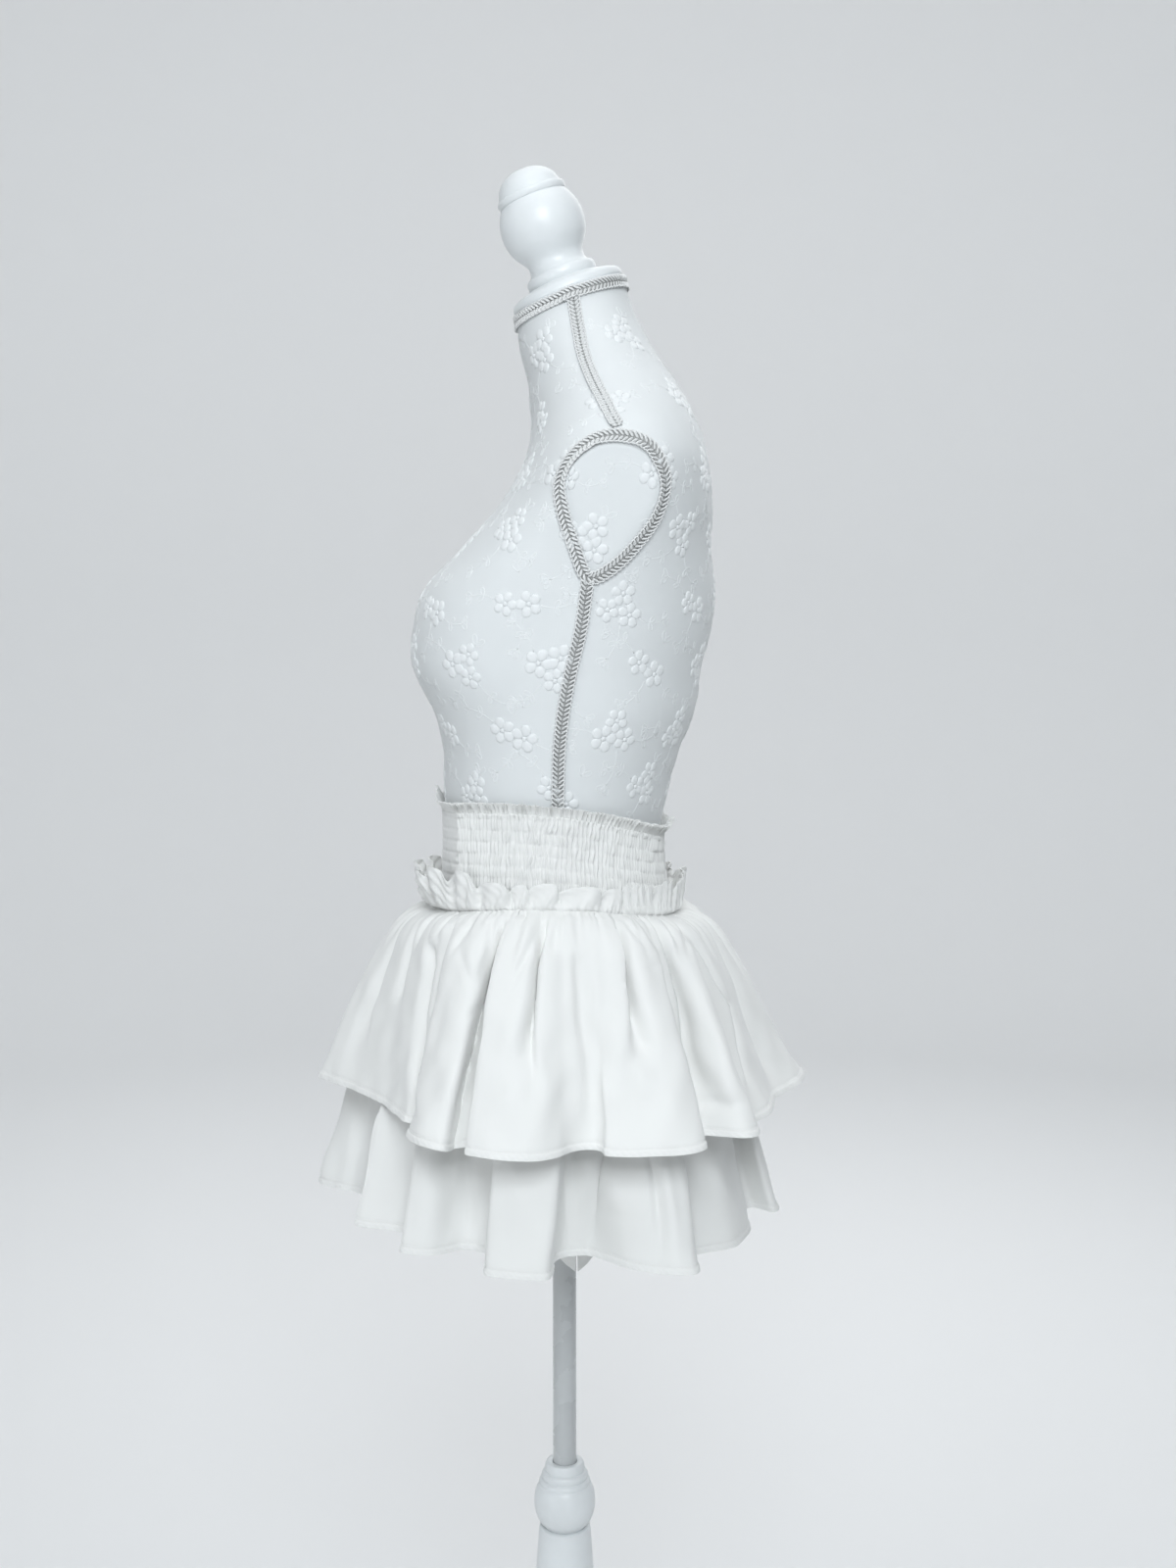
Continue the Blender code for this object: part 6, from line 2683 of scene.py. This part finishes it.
@dataclass
class Skort:
    """The whole garment."""

    def build(self) -> None:
        """Make every sewn piece of the skort."""
        satin = SatinCrepe().material()
        SmockedBand().build(satin)
        FrontPanel().build(satin)
        TopFrill().build(satin)
        HeadingRuffle().build(satin)
        upper = Flounce(
            "upper_flounce", "upper_tier", UPPER_SHOWN, UPPER_HIDDEN,
            Belt(0.8040, 0.8120, 0.8100), 0.187, 0.0056, -6.5, UPPER_CREASES, UPPER_WRINKLES, 5.6,
        )
        outer = upper.surface()
        lower = InnerFlounce(
            "lower_flounce", "lower_tier", LOWER_SHOWN, LOWER_HIDDEN,
            Belt(0.7120, 0.7160, 0.7080), 0.164, 0.0036, 2.0, LOWER_CREASES, LOWER_WRINKLES,
            seed=9, columns=600,
            drops=np.concatenate([
                np.linspace(0, 0.52, 12)[:-1], np.linspace(0.52, 0.95, 34)[:-1],
                np.linspace(0.95, 1, 10),
            ]),
            gathers=60, long_gathers=30, flat=(0.72, 0.26), area=0.165, rests_on="form_cover",
            slants=((-1.6, 3.4, 3.0),), outer=outer,
        )
        lower.build(satin)
        upper.build(satin)
        Shorts().build(satin)


# ------------------------------------------------------------------- studio
# Name, place, aim, width, watts and colour of each soft box.
SOFT_BOXES = (
    ("key_box", (2.45, 0.12, 2.38), (0, 0, 1.03), 1.0, 43.0, (0.940, 0.985, 1.02)),
    ("fill_box", (1.9, -2.0, 1.0), (0, 0, 0.9), 1.7, 9.6, (0.955, 0.98, 1.0)),
    ("top_box", (0.5, 0.2, 3.4), (0, 0, 1.0), 1.8, 11.0, (1.0, 1.0, 1.0)),
    ("back_box", (-2.0, 0.6, 2.2), (0, 0, 1.0), 1.8, 11.0, (0.98, 0.99, 1.0)),
    ("wall_box", (-1.2, 0.0, 3.6), (-4.6, 0.0, 1.4), 2.4, 66.0, (0.99, 0.99, 1.0)),
)


@dataclass
class Studio:
    """Camera, soft lights and a plain pale floor with an upturned rim."""

    eye: tuple[float, float, float] = (1.49, 0.019, 1.20)
    pitch_deg: float = 5.88
    focal_pixels: float = 1940.0
    frame_height: float = 1600.0
    floor_radius: float = 3.4
    floor_rise: float = 1.2
    rim_steps: int = 12
    wall_height: float = 4.2
    sky: Shade = (1.0, 0.99, 0.96)
    sky_strength: float = 0.47

    def camera(self) -> None:
        """Place the camera at the photograph's viewing angle."""
        data = bpy.data.cameras.new("camera")
        data.sensor_fit = "AUTO"
        data.sensor_width = 36.0
        data.lens = 36.0 * self.focal_pixels / self.frame_height
        data.clip_start, data.clip_end = 0.05, 60.0
        item = bpy.data.objects.new("camera", data)
        pitch = math.radians(self.pitch_deg)
        forward = Vector((-math.cos(pitch), 0, -math.sin(pitch)))
        up = Vector((-math.sin(pitch), 0, math.cos(pitch)))
        right = forward.cross(up)
        turned = Matrix((right, up, -forward)).transposed().to_4x4()
        item.matrix_world = Matrix.Translation(Vector(self.eye)) @ turned
        bpy.context.scene.collection.objects.link(item)
        bpy.context.scene.camera = item

    def lamp(
        self, name: str, place: Sequence[float], aim: Sequence[float], size: float, power: float,
        colour: Sequence[float],
    ) -> None:
        """Add a square soft box that looks at a point.

        Args:
            name: The light's name.
            place: Its place.
            aim: The point.
            size: Its width.
            power: Its power in watts.
            colour: Its colour.
        """
        data = bpy.data.lights.new(name, "AREA")
        data.shape = "SQUARE"
        data.size = size
        data.energy = power
        data.color = tuple(colour)
        item = bpy.data.objects.new(name, data)
        way = Vector(aim) - Vector(place)
        item.rotation_mode = "QUATERNION"
        item.rotation_quaternion = way.to_track_quat("-Z", "Y")
        item.location = tuple(place)
        bpy.context.scene.collection.objects.link(item)

    def floor(self) -> None:
        """Make the floor, which turns up softly into a round pale wall."""
        select_only(None)
        bpy.ops.mesh.primitive_circle_add(
            vertices=128, radius=self.floor_radius, fill_type="NGON", location=(0, 0, 0)
        )
        item = bpy.context.object
        item.name = "studio_floor"
        bpy.ops.object.mode_set(mode="EDIT")
        bpy.ops.mesh.select_mode(type="EDGE")
        bpy.ops.mesh.select_all(action="DESELECT")
        bpy.ops.mesh.select_non_manifold()
        rings = [(self.floor_radius, 0.0)]
        for k in range(1, self.rim_steps + 1):
            angle = math.pi / 2 * k / self.rim_steps
            rings.append((
                self.floor_radius + self.floor_rise * math.sin(angle),
                self.floor_rise * (1 - math.cos(angle)),
            ))
        rings.append((rings[-1][0], self.wall_height))
        for now, following in zip(rings, rings[1:]):
            extrude_ring(now, following)
        bpy.ops.mesh.select_all(action="SELECT")
        bpy.ops.mesh.normals_make_consistent(inside=False)
        bpy.ops.object.mode_set(mode="OBJECT")
        bpy.ops.object.shade_smooth()
        if item.data.polygons[0].normal.z < 0:
            item.data.flip_normals()
        item.data.materials.append(StudioPaper().material())

    def world(self) -> None:
        """Even pale light from all around."""
        world = bpy.data.worlds.new("pale_sky")
        world.use_nodes = True
        back = world.node_tree.nodes["Background"]
        back.inputs["Color"].default_value = (*self.sky, 1.0)
        back.inputs["Strength"].default_value = self.sky_strength
        bpy.context.scene.world = world

    def build(self) -> None:
        """Set up the whole studio."""
        self.camera()
        self.floor()
        self.world()
        for row in SOFT_BOXES:
            self.lamp(*row)
        bpy.context.scene.view_settings.view_transform = "Standard"


def main() -> None:
    """Build the studio, the form, its stand and the skort."""
    logging.basicConfig(level=logging.INFO, format="%(name)s %(message)s")
    Studio().build()
    cover = PaddedForm().build()
    ground = Ground(cover)
    Embroidery().build(ground)
    FormTrims().build(ground)
    TurnedSet().build()
    Skort().build()


if __name__ == "__main__":
    main()
